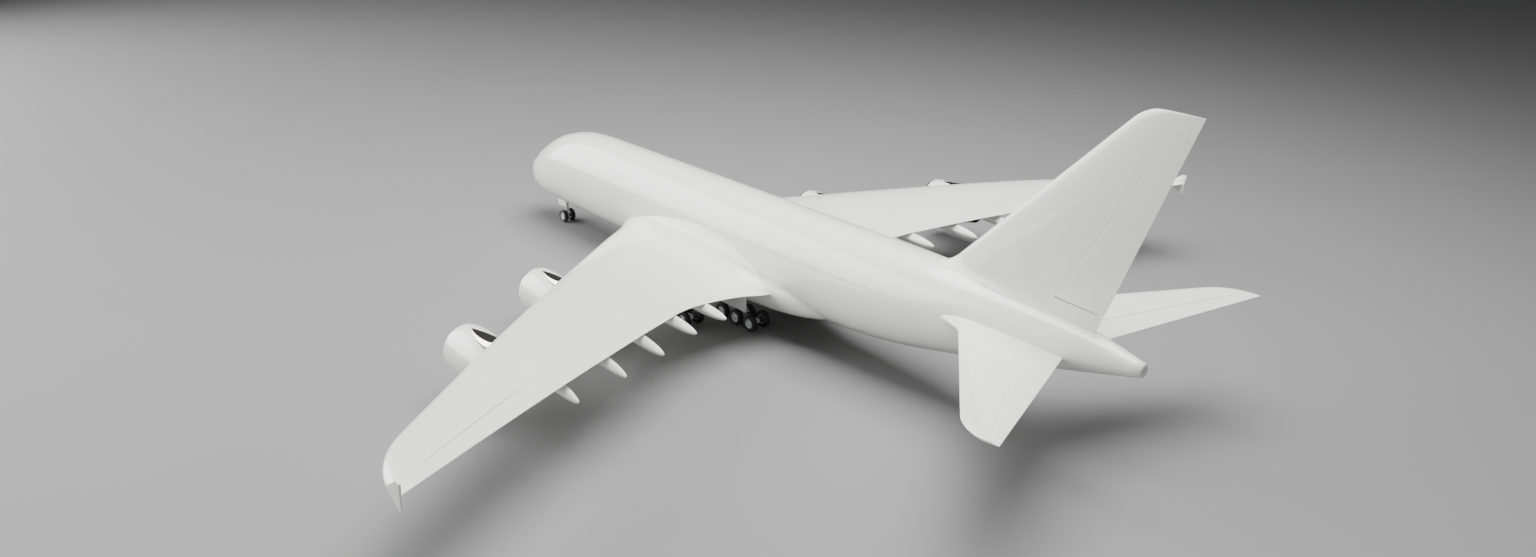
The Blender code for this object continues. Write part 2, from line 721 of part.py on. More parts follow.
def make_fin(fuselage_tool):
    hinge = make_hinge(fin_section, RUDDER_FOOT, RUDDER_TOP, RUDDER_HINGE)
    rings = fixed_rings(hinge, FIN_STATIONS, FIN_TIP_STATIONS, False)
    fin = add_object("fin", loft(rings))
    cut(fin, fuselage_tool)
    lower = control_surface("rudder_lower", hinge, RUDDER_FOOT, RUDDER_SPLIT, (RUDDER_FOOT_GAP, END_GAP / 2.0), False)
    upper = control_surface("rudder_upper", hinge, RUDDER_SPLIT, RUDDER_TOP, (END_GAP / 2.0, END_GAP))
    seat_pin(lower, fin, hinge, RUDDER_FOOT, 1.0, RUDDER_FOOT_GAP)
    seat_pin(upper, fin, hinge, RUDDER_TOP, -1.0, END_GAP)


def make_tailplane(fuselage_tool):
    hinge = make_hinge(tail_section, *ELEVATOR)
    rings = fixed_rings(hinge, TAIL_STATIONS, TAIL_TIP_STATIONS)
    tailplane = add_object("tailplane_port", loft(rings))
    cut(tailplane, fuselage_tool)
    elevator = control_surface("elevator_port", hinge, hinge.low, hinge.high, (END_GAP, END_GAP))
    seat_pin(elevator, tailplane, hinge, hinge.low, 1.0, END_GAP)
    seat_pin(elevator, tailplane, hinge, hinge.high, -1.0, END_GAP)
    mirrored(tailplane, "tailplane_starboard")
    mirrored(elevator, "elevator_starboard")


# Engines

def nacelle_shape(centre, grow=0.0):
    outside = [(s, r + grow) for s, r in NACELLE_OUTSIDE]
    inside = [(s, r - grow) for s, r in NACELLE_INSIDE]
    outside[-1] = (outside[-1][0] + grow, outside[-1][1])
    inside[0] = (inside[0][0] + grow, inside[0][1])
    return turned([NACELLE_LIP] + outside + inside, ENGINE_SIDES, centre=centre)


def core_shape(centre):
    return turned(CORE_PROFILE, ENGINE_SIDES, CORE_PROFILE[0][0], CORE_PLUG_TIP, centre)


def core_clearance_shape(centre):
    """The core's outside as far as its nozzle, grown by the gap that the pylon keeps to it."""
    outside = [(s, r + GAP) for s, r in CORE_PROFILE[:6]]
    nozzle = CORE_PROFILE[5][0] + GAP
    outside[-1] = (nozzle, outside[-1][1])
    return turned(outside, ENGINE_SIDES, CORE_PROFILE[0][0], nozzle, centre)


def add_vanes(bm, centre, wall):
    """Draw stator vanes out of the core's own faces to the duct wall."""
    low, high = CORE_VANE_BAND
    middle = centre.y + (low + high) / 2.0
    band = [face for face in bm.faces if len(face.verts) == 4
            and abs(face.calc_center_median().y - middle) < 0.05]
    band.sort(key=lambda face: atan2(face.calc_center_median().x - centre.x,
                                     face.calc_center_median().z - centre.z))
    for face in band[::ENGINE_SIDES // CORE_VANES]:
        bmesh.ops.inset_individual(bm, faces=[face], thickness=0.07)
        out = face.calc_center_median() - centre
        out.y = 0.0
        out.normalize()
        across = Vector((out.z, 0.0, -out.x))
        for vert in face.verts:
            side = (vert.co - centre).dot(across)
            vert.co -= across * side * 0.55
        drawn = bmesh.ops.extrude_discrete_faces(bm, faces=[face])["faces"][0]
        for vert in drawn.verts:
            vert.co += out * (wall - (vert.co - centre).dot(out))


def fan_shape(centre):
    """The spinner and hub, which turn as one."""
    back = CORE_PROFILE[0][0] - GAP
    return turned(list(FAN_PROFILE) + [(back, FAN_PROFILE[-1][1])], FAN_BLADES, SPINNER_TIP, back, centre)


def blade_shapes(centre):
    """The fan's blades, set at an angle round the hub and let into it."""
    blades = bmesh.new()
    middle = (FAN_PROFILE[0][0] + FAN_PROFILE[1][0]) / 2.0
    for k in range(FAN_BLADES):
        blade = bmesh.ops.create_cube(blades, size=1.0)["verts"]
        size = Matrix.Diagonal((BLADE_THICKNESS, BLADE_CHORD, FAN_TIP - FAN_ROOT, 1.0))
        seat = Matrix.Translation((0.0, middle, (FAN_TIP + FAN_ROOT) / 2.0))
        set_angle = Matrix.Rotation(radians(BLADE_TURN), 4, "Z")
        place = Matrix.Translation(centre) @ Matrix.Rotation(2.0 * pi * k / FAN_BLADES, 4, "Y")
        bmesh.ops.transform(blades, matrix=place @ seat @ set_angle @ size, verts=blade)
    return blades


def pylon_shape(centre, span):
    """A pylon that starts as a hump on the nacelle, rises to the wing and runs out under it."""
    top = wing_section(span).nose.z + 0.05 - centre.z
    rows = list(PYLON_NOSE) + [(*row, top) for row in PYLON_TAIL]
    rings = []
    for behind, width, foot, shoulder, peak in rows:
        outline = ((width, foot), (width, shoulder), (0.72 * width, mix(shoulder, peak, 0.72)),
                   (0.28 * width, peak), (-0.28 * width, peak),
                   (-0.72 * width, mix(shoulder, peak, 0.72)), (-width, shoulder), (-width, foot))
        rings.append([centre + Vector((x, behind, z)) for x, z in outline])
    return loft(rings)


def make_engine(name, span, lip, height, wing_tool):
    centre = Vector((span, lip, height))
    nacelle = add_object(f"nacelle_{name}_port", nacelle_shape(centre))
    core_bm = core_shape(centre)
    add_vanes(core_bm, centre, DUCT_RADIUS * cos(pi / ENGINE_SIDES) - GAP)
    core = add_object(f"core_{name}_port", core_bm, kind="titanium")
    fan = add_object(f"fan_{name}_port", fan_shape(centre), kind="titanium", pivot=centre)
    join(fan, blade_shapes(centre))
    pylon = add_object(f"pylon_{name}_port", pylon_shape(centre, span), kind="polished")
    tools = [add_object("nacelle_clearance", nacelle_shape(centre, GAP), CUTTERS),
             add_object("core_clearance", core_clearance_shape(centre), CUTTERS)]
    cut(pylon, wing_tool, *tools)
    for piece in (nacelle, core, fan, pylon):
        mirrored(piece, piece.name.replace("port", "starboard"))


# Landing gear

def wheel_pair(name, centre, spacing, radius, width, hub):
    """Two wheels on one axle, turned as one shape, standing on a flat of each tyre."""
    round_radius = radius / cos(pi / WHEEL_SIDES)
    inner = spacing - width / 2.0
    outer = spacing + width / 2.0
    half = (
        (outer - 0.10, 0.42 * radius),
        (outer, 0.66 * round_radius),
        (outer - 0.07, round_radius),
        (inner + 0.07, round_radius),
        (inner, 0.66 * round_radius),
        (inner + 0.02, 0.16),
        (hub + GAP, 0.16),
        (hub + GAP, AXLE_RADIUS),
    )
    profile = [(-x, r) for x, r in half] + [(x, r) for x, r in reversed(half)]
    bm = turned(profile, WHEEL_SIDES, -(outer - 0.10), outer - 0.10, centre, axis="X")
    return add_object(name, bm, kind="rubber", pivot=centre)


def axle_bore(centre, reach):
    radius = (AXLE_RADIUS + GAP) / cos(pi / WHEEL_SIDES)
    profile = ((-reach, radius), (reach, radius))
    return add_object("bore", turned(profile, WHEEL_SIDES, -reach, reach, centre, axis="X"), CUTTERS)


def make_bogie(name, place, axles, wheel_names):
    """A bogie beam with its axles' bores, and a pair of wheels in each."""
    span, aft = place
    height = MAIN_WHEEL_RADIUS
    reach = (axles - 1) * AXLE_PITCH / 2.0 + 0.20
    beam = add_object(name, box((span - BEAM_HALF, aft - reach, height - BEAM_HALF),
                                (span + BEAM_HALF, aft + reach, height + BEAM_HALF)), kind="steel")
    wheels = []
    for k, wheel_name in enumerate(wheel_names):
        centre = Vector((span, aft + (k - (axles - 1) / 2.0) * AXLE_PITCH, height))
        cut(beam, axle_bore(centre, BEAM_HALF + 0.1))
        wheels.append(wheel_pair(wheel_name, centre, 0.70, MAIN_WHEEL_RADIUS, 0.50, BEAM_HALF))
    for piece in [beam] + wheels:
        mirrored(piece, piece.name.replace("port", "starboard"))


def make_leg(name, place, top, radius, brace, tools):
    span, aft = place
    foot = MAIN_WHEEL_RADIUS + BEAM_HALF + GAP
    leg = add_object(name, rod((span, aft, foot), (span, aft, top), radius, 16), kind="steel")
    join(leg, rod(*brace))
    cut(leg, *tools)
    mirrored(leg, name.replace("port", "starboard"))


def make_nose_gear(fuselage_tool):
    span, aft = NOSE_GEAR
    axle = NOSE_WHEEL_RADIUS
    swivel = 1.20
    leg = add_object("nose_gear_leg", rod((span, aft, swivel + GAP), (span, aft, 3.2), 0.17, 16),
                     kind="steel")
    join(leg, rod((span, aft, 1.55), (span, aft - 1.35, 3.3), 0.08, 8))
    cut(leg, fuselage_tool)
    fork = add_object("nose_gear_steering", rod((span, aft, axle - 0.16), (span, aft, swivel), 0.13, 16),
                      kind="steel", pivot=(span, aft, axle))
    join(fork, box((span - 0.17, aft - 0.16, axle - 0.15), (span + 0.17, aft + 0.16, axle + 0.15)),
         box((span - 0.07, aft - 0.34, axle - 0.08), (span + 0.07, aft - 0.10, axle + 0.08)))
    cut(fork, axle_bore(Vector((span, aft, axle)), 0.3))
    wheel_pair("nose_wheels", Vector((span, aft, axle)), 0.43, NOSE_WHEEL_RADIUS, 0.40, 0.17)
    door = add_object("nose_gear_door_port", box((0.50, aft - 0.67, 1.72), (0.55, aft + 0.73, 3.10)))
    cut(door, fuselage_tool)
    mirrored(door, "nose_gear_door_starboard")


def make_main_gear(wing_tool, fairing_tool):
    span, aft = WING_GEAR
    names = [f"wing_gear_wheels_{k}_port" for k in (1, 2)]
    make_bogie("wing_gear_bogie_port", WING_GEAR, 2, names)
    make_leg("wing_gear_leg_port", WING_GEAR, 4.6, 0.23,
             ((span, aft, 1.9), (span, aft - 2.4, 4.6), 0.11, 8), (wing_tool,))
    span, aft = BODY_GEAR
    names = [f"body_gear_wheels_{k}_port" for k in (1, 2, 3)]
    make_bogie("body_gear_bogie_port", BODY_GEAR, 3, names)
    make_leg("body_gear_leg_port", BODY_GEAR, 2.6, 0.25,
             ((span, aft, 1.25), (span, aft - 1.3, 2.6), 0.10, 8), (fairing_tool,))
    for name, low, high, tool in (("wing_gear_door", *WING_GEAR_DOOR, wing_tool),
                                  ("body_gear_door", *BODY_GEAR_DOOR, fairing_tool)):
        door = add_object(name + "_port", box(low, high))
        cut(door, tool)
        mirrored(door, name + "_starboard")


def place_on_model_scale():
    """Shrink the finished pieces, centre them and set each origin on its joint's axis."""
    shift = Vector((0.0, -(NOSE_STATION + TAIL_STATION) / 2.0, 0.0))
    for obj in list(PARTS.objects):
        pivot = Vector(obj["pivot"]) if "pivot" in obj else Vector((0.0, 0.0, 0.0)) - shift
        obj.data.transform(Matrix.Scale(SCALE, 4) @ Matrix.Translation(-pivot))
        obj.location = (pivot + shift) * SCALE
        obj.data.shade_smooth()
        obj.data.set_sharp_from_angle(angle=radians(35.0))
        if "pivot" in obj:
            del obj["pivot"]
    for obj in CUTTERS.objects:
        obj.data.transform(Matrix.Scale(SCALE, 4) @ Matrix.Translation(shift))


def main():
    fuselage = add_object("fuselage", fuselage_shape())
    fuselage_tool = add_object("fuselage_clearance", fuselage_shape(GAP), CUTTERS)
    fairing = add_object("belly_fairing", fairing_shape())
    cut(fairing, fuselage_tool)
    fairing_tool = add_object("fairing_clearance", fairing_shape(GAP), CUTTERS)
    wing_tool = make_wing((fuselage_tool, fairing_tool))
    make_fence()
    make_fin(fuselage_tool)
    make_tailplane(fuselage_tool)
    for engine in ENGINES:
        make_engine(*engine, wing_tool)
    make_nose_gear(fuselage_tool)
    make_main_gear(wing_tool, fairing_tool)
    place_on_model_scale()


main()
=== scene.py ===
# Looks of a double-deck four-engine airliner standing on its landing gear, a 1:2 scale model.
# Shapes are drawn at full size: X to the port wing, Y as stations aft of a datum ahead of the nose,
# and Z up from the ground. place_on_model() brings each finished mesh to the model's scale and place.

from collections import namedtuple
from math import atan2, cos, hypot, pi, radians, sin, sqrt

import bmesh
import bpy
from mathutils import Matrix, Vector


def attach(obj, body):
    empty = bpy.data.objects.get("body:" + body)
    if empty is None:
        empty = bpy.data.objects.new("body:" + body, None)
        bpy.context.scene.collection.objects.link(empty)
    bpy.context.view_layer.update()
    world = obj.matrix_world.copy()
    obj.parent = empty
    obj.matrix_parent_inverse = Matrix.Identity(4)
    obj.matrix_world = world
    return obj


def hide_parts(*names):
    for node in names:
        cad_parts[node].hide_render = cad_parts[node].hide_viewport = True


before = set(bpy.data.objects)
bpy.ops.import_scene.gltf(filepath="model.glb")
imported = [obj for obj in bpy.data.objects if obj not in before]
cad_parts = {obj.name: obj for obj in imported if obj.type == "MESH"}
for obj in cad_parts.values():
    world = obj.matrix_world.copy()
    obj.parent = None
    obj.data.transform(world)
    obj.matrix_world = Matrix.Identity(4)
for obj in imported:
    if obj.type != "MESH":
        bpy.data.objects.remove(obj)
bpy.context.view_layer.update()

SCALE = 0.5
NOSE_STATION = 2.6
TAIL_STATION = 72.0
MIDDLE_STATION = (NOSE_STATION + TAIL_STATION) / 2.0
HALF_SPAN = 39.875
PORT = Vector((1.0, 0.0, 0.0))
AFT = Vector((0.0, 1.0, 0.0))
UP = Vector((0.0, 0.0, 1.0))
ROOT_BODY = "airframe"

# Camera, fitted to the photograph: place in the model's frame, heading from aft towards starboard,
# dip below the horizon and roll in degrees, and focal length for a 36 mm wide frame.
CAMERA_PLACE = Vector((29.654, 31.141, 19.842))
CAMERA_HEADING = 136.53
CAMERA_DIP = 22.91
CAMERA_ROLL = 1.28
CAMERA_LENS = 26.28

# Fuselage: station, half width, keel height, crown height and widest level.
FUSELAGE = (
    (2.60, 0.00, 5.15, 5.15, 5.15),
    (2.74, 0.62, 4.57, 5.62, 5.13),
    (3.03, 1.10, 4.09, 6.00, 5.08),
    (3.45, 1.53, 3.67, 6.38, 5.03),
    (4.30, 2.08, 3.27, 7.02, 5.00),
    (5.12, 2.45, 3.02, 7.64, 5.07),
    (6.38, 2.80, 2.84, 8.47, 5.27),
    (7.63, 3.04, 2.73, 9.17, 5.47),
    (9.31, 3.22, 2.65, 9.77, 5.70),
    (11.0, 3.31, 2.59, 10.14, 5.84),
    (13.0, 3.34, 2.54, 10.32, 5.90),
    (16.0, 3.35, 2.50, 10.36, 5.92),
    (44.0, 3.35, 2.46, 10.37, 5.92),
    (48.0, 3.33, 2.60, 10.39, 6.02),
    (52.0, 3.19, 3.05, 10.40, 6.30),
    (56.0, 2.88, 3.83, 10.36, 6.70),
    (60.0, 2.41, 4.76, 10.16, 7.12),
    (64.0, 1.80, 5.72, 9.76, 7.48),
    (67.5, 1.16, 6.62, 9.22, 7.76),
    (70.92, 0.46, 7.54, 8.47, 8.00),
)
BODY_POWERS = (2.15, 2.0)
BODY_SIDES = 256
TAIL_CONE_END = FUSELAGE[-1][0]
TAIL_CONE_LEVEL = FUSELAGE[-1][4]
TAIL_CAP_RADIUS = 0.33

# Windscreen: heights of its sill and head, half width, the station where it ends, how far its foot is
# set back, how far the panes stand in front of it, and each pane's inner and outer edges.
SCREEN_SILL = 5.90
SCREEN_HEAD = 6.95
SCREEN_HALF_WIDTH = 1.95
SCREEN_END = 5.6
SCREEN_DEPTH = 0.32
PANE_STANDS = 0.03
PANE_THICKNESS = 0.012
PANE_HEIGHTS = (5.97, 6.78)
PANE_EDGES = ((0.04, 0.58), (0.66, 1.18), (1.26, 1.84))

# Belly fairing: station, half width, keel height, widest level and top height.
FAIRING = (
    (17.0, 1.45, 2.75, 3.80, 4.70),
    (19.5, 2.30, 2.28, 4.00, 5.20),
    (22.0, 3.05, 2.00, 4.15, 5.80),
    (25.5, 4.08, 1.88, 4.25, 6.30),
    (31.0, 4.12, 1.86, 4.30, 6.40),
    (37.0, 4.10, 1.88, 4.25, 6.20),
    (40.0, 3.88, 1.98, 4.15, 5.85),
    (42.5, 3.46, 2.20, 4.00, 5.40),
    (44.5, 2.85, 2.50, 3.90, 5.00),
    (46.4, 1.90, 2.95, 3.85, 4.70),
)
FAIRING_POWERS = (2.5, 2.5)
FAIRING_SIDES = 96

# Wing: span, leading edge station and height, trailing edge station and height, depth over chord.
WING = (
    (2.60, 21.30, 4.25, 41.35, 4.15, 0.138),
    (4.60, 22.80, 4.56, 41.15, 4.40, 0.136),
    (6.00, 23.74, 4.72, 40.80, 4.60, 0.130),
    (8.30, 25.28, 4.92, 40.54, 4.84, 0.124),
    (10.4, 26.72, 5.07, 40.62, 5.08, 0.118),
    (12.5, 28.22, 5.24, 41.08, 5.32, 0.114),
    (14.5, 29.68, 5.42, 41.90, 5.53, 0.110),
    (17.0, 31.52, 5.65, 42.93, 5.78, 0.107),
    (20.0, 33.75, 5.91, 44.18, 6.03, 0.104),
    (25.0, 37.47, 6.30, 46.26, 6.42, 0.101),
    (30.0, 41.20, 6.60, 48.33, 6.72, 0.099),
    (36.2, 45.68, 6.70, 50.87, 7.00, 0.096),
    (39.76, 48.20, 6.70, 52.32, 7.12, 0.090),
)
WING_CAMBER = 0.012
WING_TIP_ROUND = (36.9, 39.78, 3.1)
FENCE_THICKNESS = 0.12
WING_END = HALF_SPAN - FENCE_THICKNESS

# Fillet between the wing and the body: its radius, how steeply it rises and falls along the chord, how
# far it leans aft, and the spans of the walls that it runs into above and below the wing.
ROOT_FILLET = 2.1
ROOT_FILLET_RISE = 0.75
ROOT_FILLET_LEAN = 1.6
ROOT_WALL_TOP = 3.38
ROOT_WALL_BELOW = 4.00

# Aileron: both ends' spans and its hinge's share of the chord.
AILERON = (28.6, 37.4, 0.76)

# Flap-track fairings: span, tail tip's station and height.
TRACK_FAIRINGS = (
    (9.70, 42.85, 4.52),
    (13.3, 43.75, 4.78),
    (17.4, 45.25, 5.02),
    (21.5, 46.55, 5.25),
    (26.0, 47.75, 5.50),
)
TRACK_LENGTH = 6.4
TRACK_HALF_WIDTH = 0.46
TRACK_HALF_DEPTH = 0.50
TRACK_TAIL_FULLNESS = 2.6
TRACK_FRONT_SHARE = 0.62
TRACK_CHINE = 1.35
TRACK_SIDES = 32

# Wing-tip fence: its outline in stations and heights, and the roundings of its corners and edges.
FENCE_OUTLINE = ((50.80, 7.02), (52.16, 8.00), (52.60, 7.98), (52.46, 7.05), (52.50, 6.12), (52.10, 6.21))
FENCE_CORNER = 0.11
FENCE_EDGE = 0.045

# Fin: root and tip of each edge as stations and heights, depths over chord, the rounding of its top
# corner, and the fillet at its foot.
FIN_NOSE = ((55.60, 10.68), (68.41, 24.15))
FIN_TAIL = ((67.30, 9.35), (TAIL_STATION, 24.15))
FIN_DEPTH = (0.105, 0.095)
FIN_ROUND = (0.942, 1.0, 0.78)
FIN_FILLET = 0.90
FIN_FILLET_FOOT = 0.22
FIN_FILLET_SWELL = 0.7

# Rudders: foot, split and top as shares of the fin's height, hinge and gap at the foot.
RUDDER_FOOT = 0.075
RUDDER_SPLIT = 0.520
RUDDER_TOP = 0.925
RUDDER_HINGE = 0.70
RUDDER_FOOT_GAP = 0.095

# Tailplane and elevators: each edge's station and height at the origin span, with their slopes.
TAIL_ORIGIN = 9.0
TAIL_NOSE = (63.59, 0.789, 8.134, 0.092)
TAIL_TAIL = (68.78, 0.364, 8.191, 0.094)
TAIL_DEPTH = (0.105, 0.090)
TAIL_ROUND = (13.9, 15.18, 1.35)
TAIL_STRAKE = 3.6
TAIL_STRAKE_SWEEP = 1.9
ELEVATOR = (4.6, 14.0, 0.70)

# Control surfaces: the gap round their noses, how far ahead of the hinge a cove's lip lies at least, the
# gap at their ends, and where along the chord the fixed skin starts to bend to the hinge's plane.
RUN = 0.018
LIP_AHEAD = 0.22
END_GAP = 0.016
BEND_START = 0.30

# Engines: span, intake lip's station and centre height.
ENGINES = (("inner", 15.50, 25.85, 3.14), ("outer", 25.95, 33.20, 3.98))

# Nacelle: distances behind the lip with the radii outside and inside, the lip's depth, where the cowls
# meet, and the rear edge.
NACELLE_OUTSIDE = ((0.0, 1.53), (0.10, 1.64), (0.45, 1.75), (1.10, 1.81), (2.10, 1.83), (3.20, 1.79),
                   (4.30, 1.65), (5.70, 1.31))
NACELLE_INSIDE = ((0.0, 1.53), (0.12, 1.44), (0.60, 1.38), (1.20, 1.44), (1.90, 1.46), (3.40, 1.46),
                  (4.60, 1.40), (5.70, 1.28))
LIP_DEPTH = 0.26
COWL_JOINTS = (1.72, 3.42)
COWL_WALL = 0.035
COWL_END = (5.70, 1.285)
NACELLE_SIDES = 128
ENGINE_SIDES = 96

# Core, exhaust plug, fan and spinner: distances behind the lip and radii. Blades have their half chord,
# turn in degrees, bow and thickness at the root and at the tip.
CORE_OUTSIDE = ((1.65, 0.50), (2.10, 0.74), (2.90, 0.92), (4.40, 0.92), (5.60, 0.78), (6.60, 0.60))
PLUG = ((5.40, 0.40), (6.20, 0.42), (6.60, 0.40), (7.20, 0.27), (7.90, 0.02))
FAN_BLADES = 24
FAN_MIDDLE = 1.31
FAN_ROOT = 0.36
FAN_TIP = 1.39
BLADE_CHORD = (0.155, 0.225)
BLADE_TURN = (30.0, 60.0)
BLADE_BOW = (0.030, 0.012)
BLADE_THICKNESS = (0.022, 0.009)
SPINNER = ((0.72, 0.0), (0.80, 0.14), (0.98, 0.29), (1.14, 0.39), (1.48, 0.44))
VANES = 36
VANE_SIZE = (0.022, 0.42, 0.80)
VANE_PLACE = (0.0, 2.45, 1.08)
VANE_TURN = 12.0

# Pylon ahead of the wing: distance behind the intake lip, half width, and the heights of its foot,
# shoulder and top above the engine's centre. Under the wing its top follows the leading edge.
PYLON_NOSE = (
    (1.25, 0.02, 1.68, 1.79, 1.84),
    (2.05, 0.30, 1.58, 1.74, 1.91),
    (3.20, 0.64, 1.50, 1.59, 2.00),
    (4.40, 0.78, 1.44, 1.51, 2.14),
)
PYLON_TAIL = (
    (5.73, 0.60, 1.29, 1.85),
    (5.75, 0.60, 0.50, 1.85),
    (6.62, 0.40, 0.50, 1.85),
    (6.80, 0.37, 0.85, 1.85),
    (7.55, 0.27, 1.60, 1.95),
    (8.20, 0.08, 2.30, 2.33),
)

# Landing gear: tyre radius and width with the wheels' distance from the middle, each gear's span and
# station, the bogies' axle pitch and half beam, and both corners of each door.
MAIN_WHEEL = (0.70, 0.50, 0.70)
NOSE_WHEEL = (0.62, 0.40, 0.43)
NOSE_GEAR = (0.0, 7.00)
WING_GEAR = (6.23, 33.58)
BODY_GEAR = (2.63, 36.85)
AXLE_PITCH = 1.70
BEAM_HALF = 0.17
WING_GEAR_DOOR = ((6.78, 32.50, 2.30), (6.84, 34.60, 4.60))
BODY_GEAR_DOOR = ((3.74, 35.20, 1.75), (3.80, 38.50, 3.60))
NOSE_GEAR_DOOR = ((0.50, 6.33, 1.72), (0.55, 7.73, 3.10))
RIM_SHARE = 0.55
WHEEL_BOLTS = 12
LAMP_HEIGHT = 1.75


# Camera, lights and floor

def make_camera():
    data = bpy.data.cameras.new("camera")
    data.lens = CAMERA_LENS
    data.sensor_width = 36.0
    data.clip_start = 0.5
    data.clip_end = 2000.0
    heading = radians(CAMERA_HEADING)
    dip = radians(CAMERA_DIP)
    forward = Vector((-sin(heading) * cos(dip), cos(heading) * cos(dip), -sin(dip)))
    right = forward.cross(UP).normalized()
    roll = Matrix.Rotation(-radians(CAMERA_ROLL), 3, forward)
    right = roll @ right
    camera = bpy.data.objects.new("camera", data)
    camera.matrix_world = (Matrix.Translation(CAMERA_PLACE)
                           @ Matrix((right, right.cross(forward), -forward)).transposed().to_4x4())
    bpy.context.scene.collection.objects.link(camera)
    bpy.context.scene.camera = camera


def make_light(name, place, target, width, height, power):
    data = bpy.data.lights.new(name, "AREA")
    data.shape = "RECTANGLE"
    data.size = width
    data.size_y = height
    data.energy = power
    lamp = bpy.data.objects.new(name, data)
    place = Vector(place)
    lamp.matrix_world = (Matrix.Translation(place)
                         @ (Vector(target) - place).to_track_quat("-Z", "Y").to_matrix().to_4x4())
    bpy.context.scene.collection.objects.link(lamp)


def make_studio():
    world = bpy.data.worlds.new("studio")
    bpy.context.scene.world = world
    world.use_nodes = True
    sky = world.node_tree.nodes["Background"]
    sky.inputs["Color"].default_value = (0.98, 0.99, 1.0, 1.0)
    sky.inputs["Strength"].default_value = 0.08
    make_light("overhead", (-2.0, 2.0, 50.0), (0.0, 2.0, 0.0), 44.0, 44.0, 74000.0)
    make_light("left_key", (50.0, -60.0, 33.0), (0.0, 0.0, 4.0), 92.0, 54.0, 125000.0)
    make_light("back_fill", (60.0, 78.0, 44.0), (0.0, 0.0, 3.0), 30.0, 30.0, 9000.0)
    bm = bmesh.new()
    bmesh.ops.create_grid(bm, x_segments=1, y_segments=1, size=600.0)
    mesh = bpy.data.meshes.new("floor")
    bm.to_mesh(mesh)
    bm.free()
    floor = bpy.data.objects.new("floor", mesh)
    bpy.context.scene.collection.objects.link(floor)
    mesh.materials.append(finish_material("studio_floor", (0.21, 0.21, 0.21), 0.75, 0.0, mottle=0.01,
                                          mottle_scale=0.05))


# Finishes

def finish_material(name, colour, roughness, metallic, mottle=0.03, mottle_scale=0.6, grain=0.0,
                    grain_scale=60.0, rough_swing=0.05, coat=0.0, coat_roughness=0.05,
                    tint=(1.0, 1.0, 1.0)):
    """A surface whose colour and gloss drift slightly over it, with a fine grain in its relief."""
    material = bpy.data.materials.new(name)
    material.use_nodes = True
    tree = material.node_tree
    nodes = tree.nodes
    links = tree.links
    shader = nodes["Principled BSDF"]
    shader.inputs["Metallic"].default_value = metallic
    if coat:
        shader.inputs["Coat Weight"].default_value = coat
        shader.inputs["Coat Roughness"].default_value = coat_roughness
    place = nodes.new("ShaderNodeTexCoord")

    def noise(scale, detail):
        clouds = nodes.new("ShaderNodeTexNoise")
        clouds.inputs["Scale"].default_value = scale
        clouds.inputs["Detail"].default_value = detail
        links.new(place.outputs["Object"], clouds.inputs["Vector"])
        return clouds.outputs["Fac"]

    shade = nodes.new("ShaderNodeMix")
    shade.data_type = "RGBA"
    low = [max(c * (1.0 - mottle) * t, 0.0) for c, t in zip(colour, tint)]
    high = [min(c * (1.0 + mottle), 1.0) for c in colour]
    shade.inputs["A"].default_value = (*low, 1.0)
    shade.inputs["B"].default_value = (*high, 1.0)
    links.new(noise(mottle_scale, 5.0), shade.inputs["Factor"])
    links.new(shade.outputs["Result"], shader.inputs["Base Color"])
    gloss = nodes.new("ShaderNodeMapRange")
    gloss.inputs["From Min"].default_value = 0.3
    gloss.inputs["From Max"].default_value = 0.7
    gloss.inputs["To Min"].default_value = max(roughness - rough_swing, 0.02)
    gloss.inputs["To Max"].default_value = min(roughness + rough_swing, 1.0)
    links.new(noise(mottle_scale * 3.1, 6.0), gloss.inputs["Value"])
    links.new(gloss.outputs["Result"], shader.inputs["Roughness"])
    if grain:
        relief = nodes.new("ShaderNodeBump")
        relief.inputs["Strength"].default_value = 1.0
        relief.inputs["Distance"].default_value = grain
        links.new(noise(grain_scale, 3.0), relief.inputs["Height"])
        links.new(relief.outputs["Normal"], shader.inputs["Normal"])
    return material


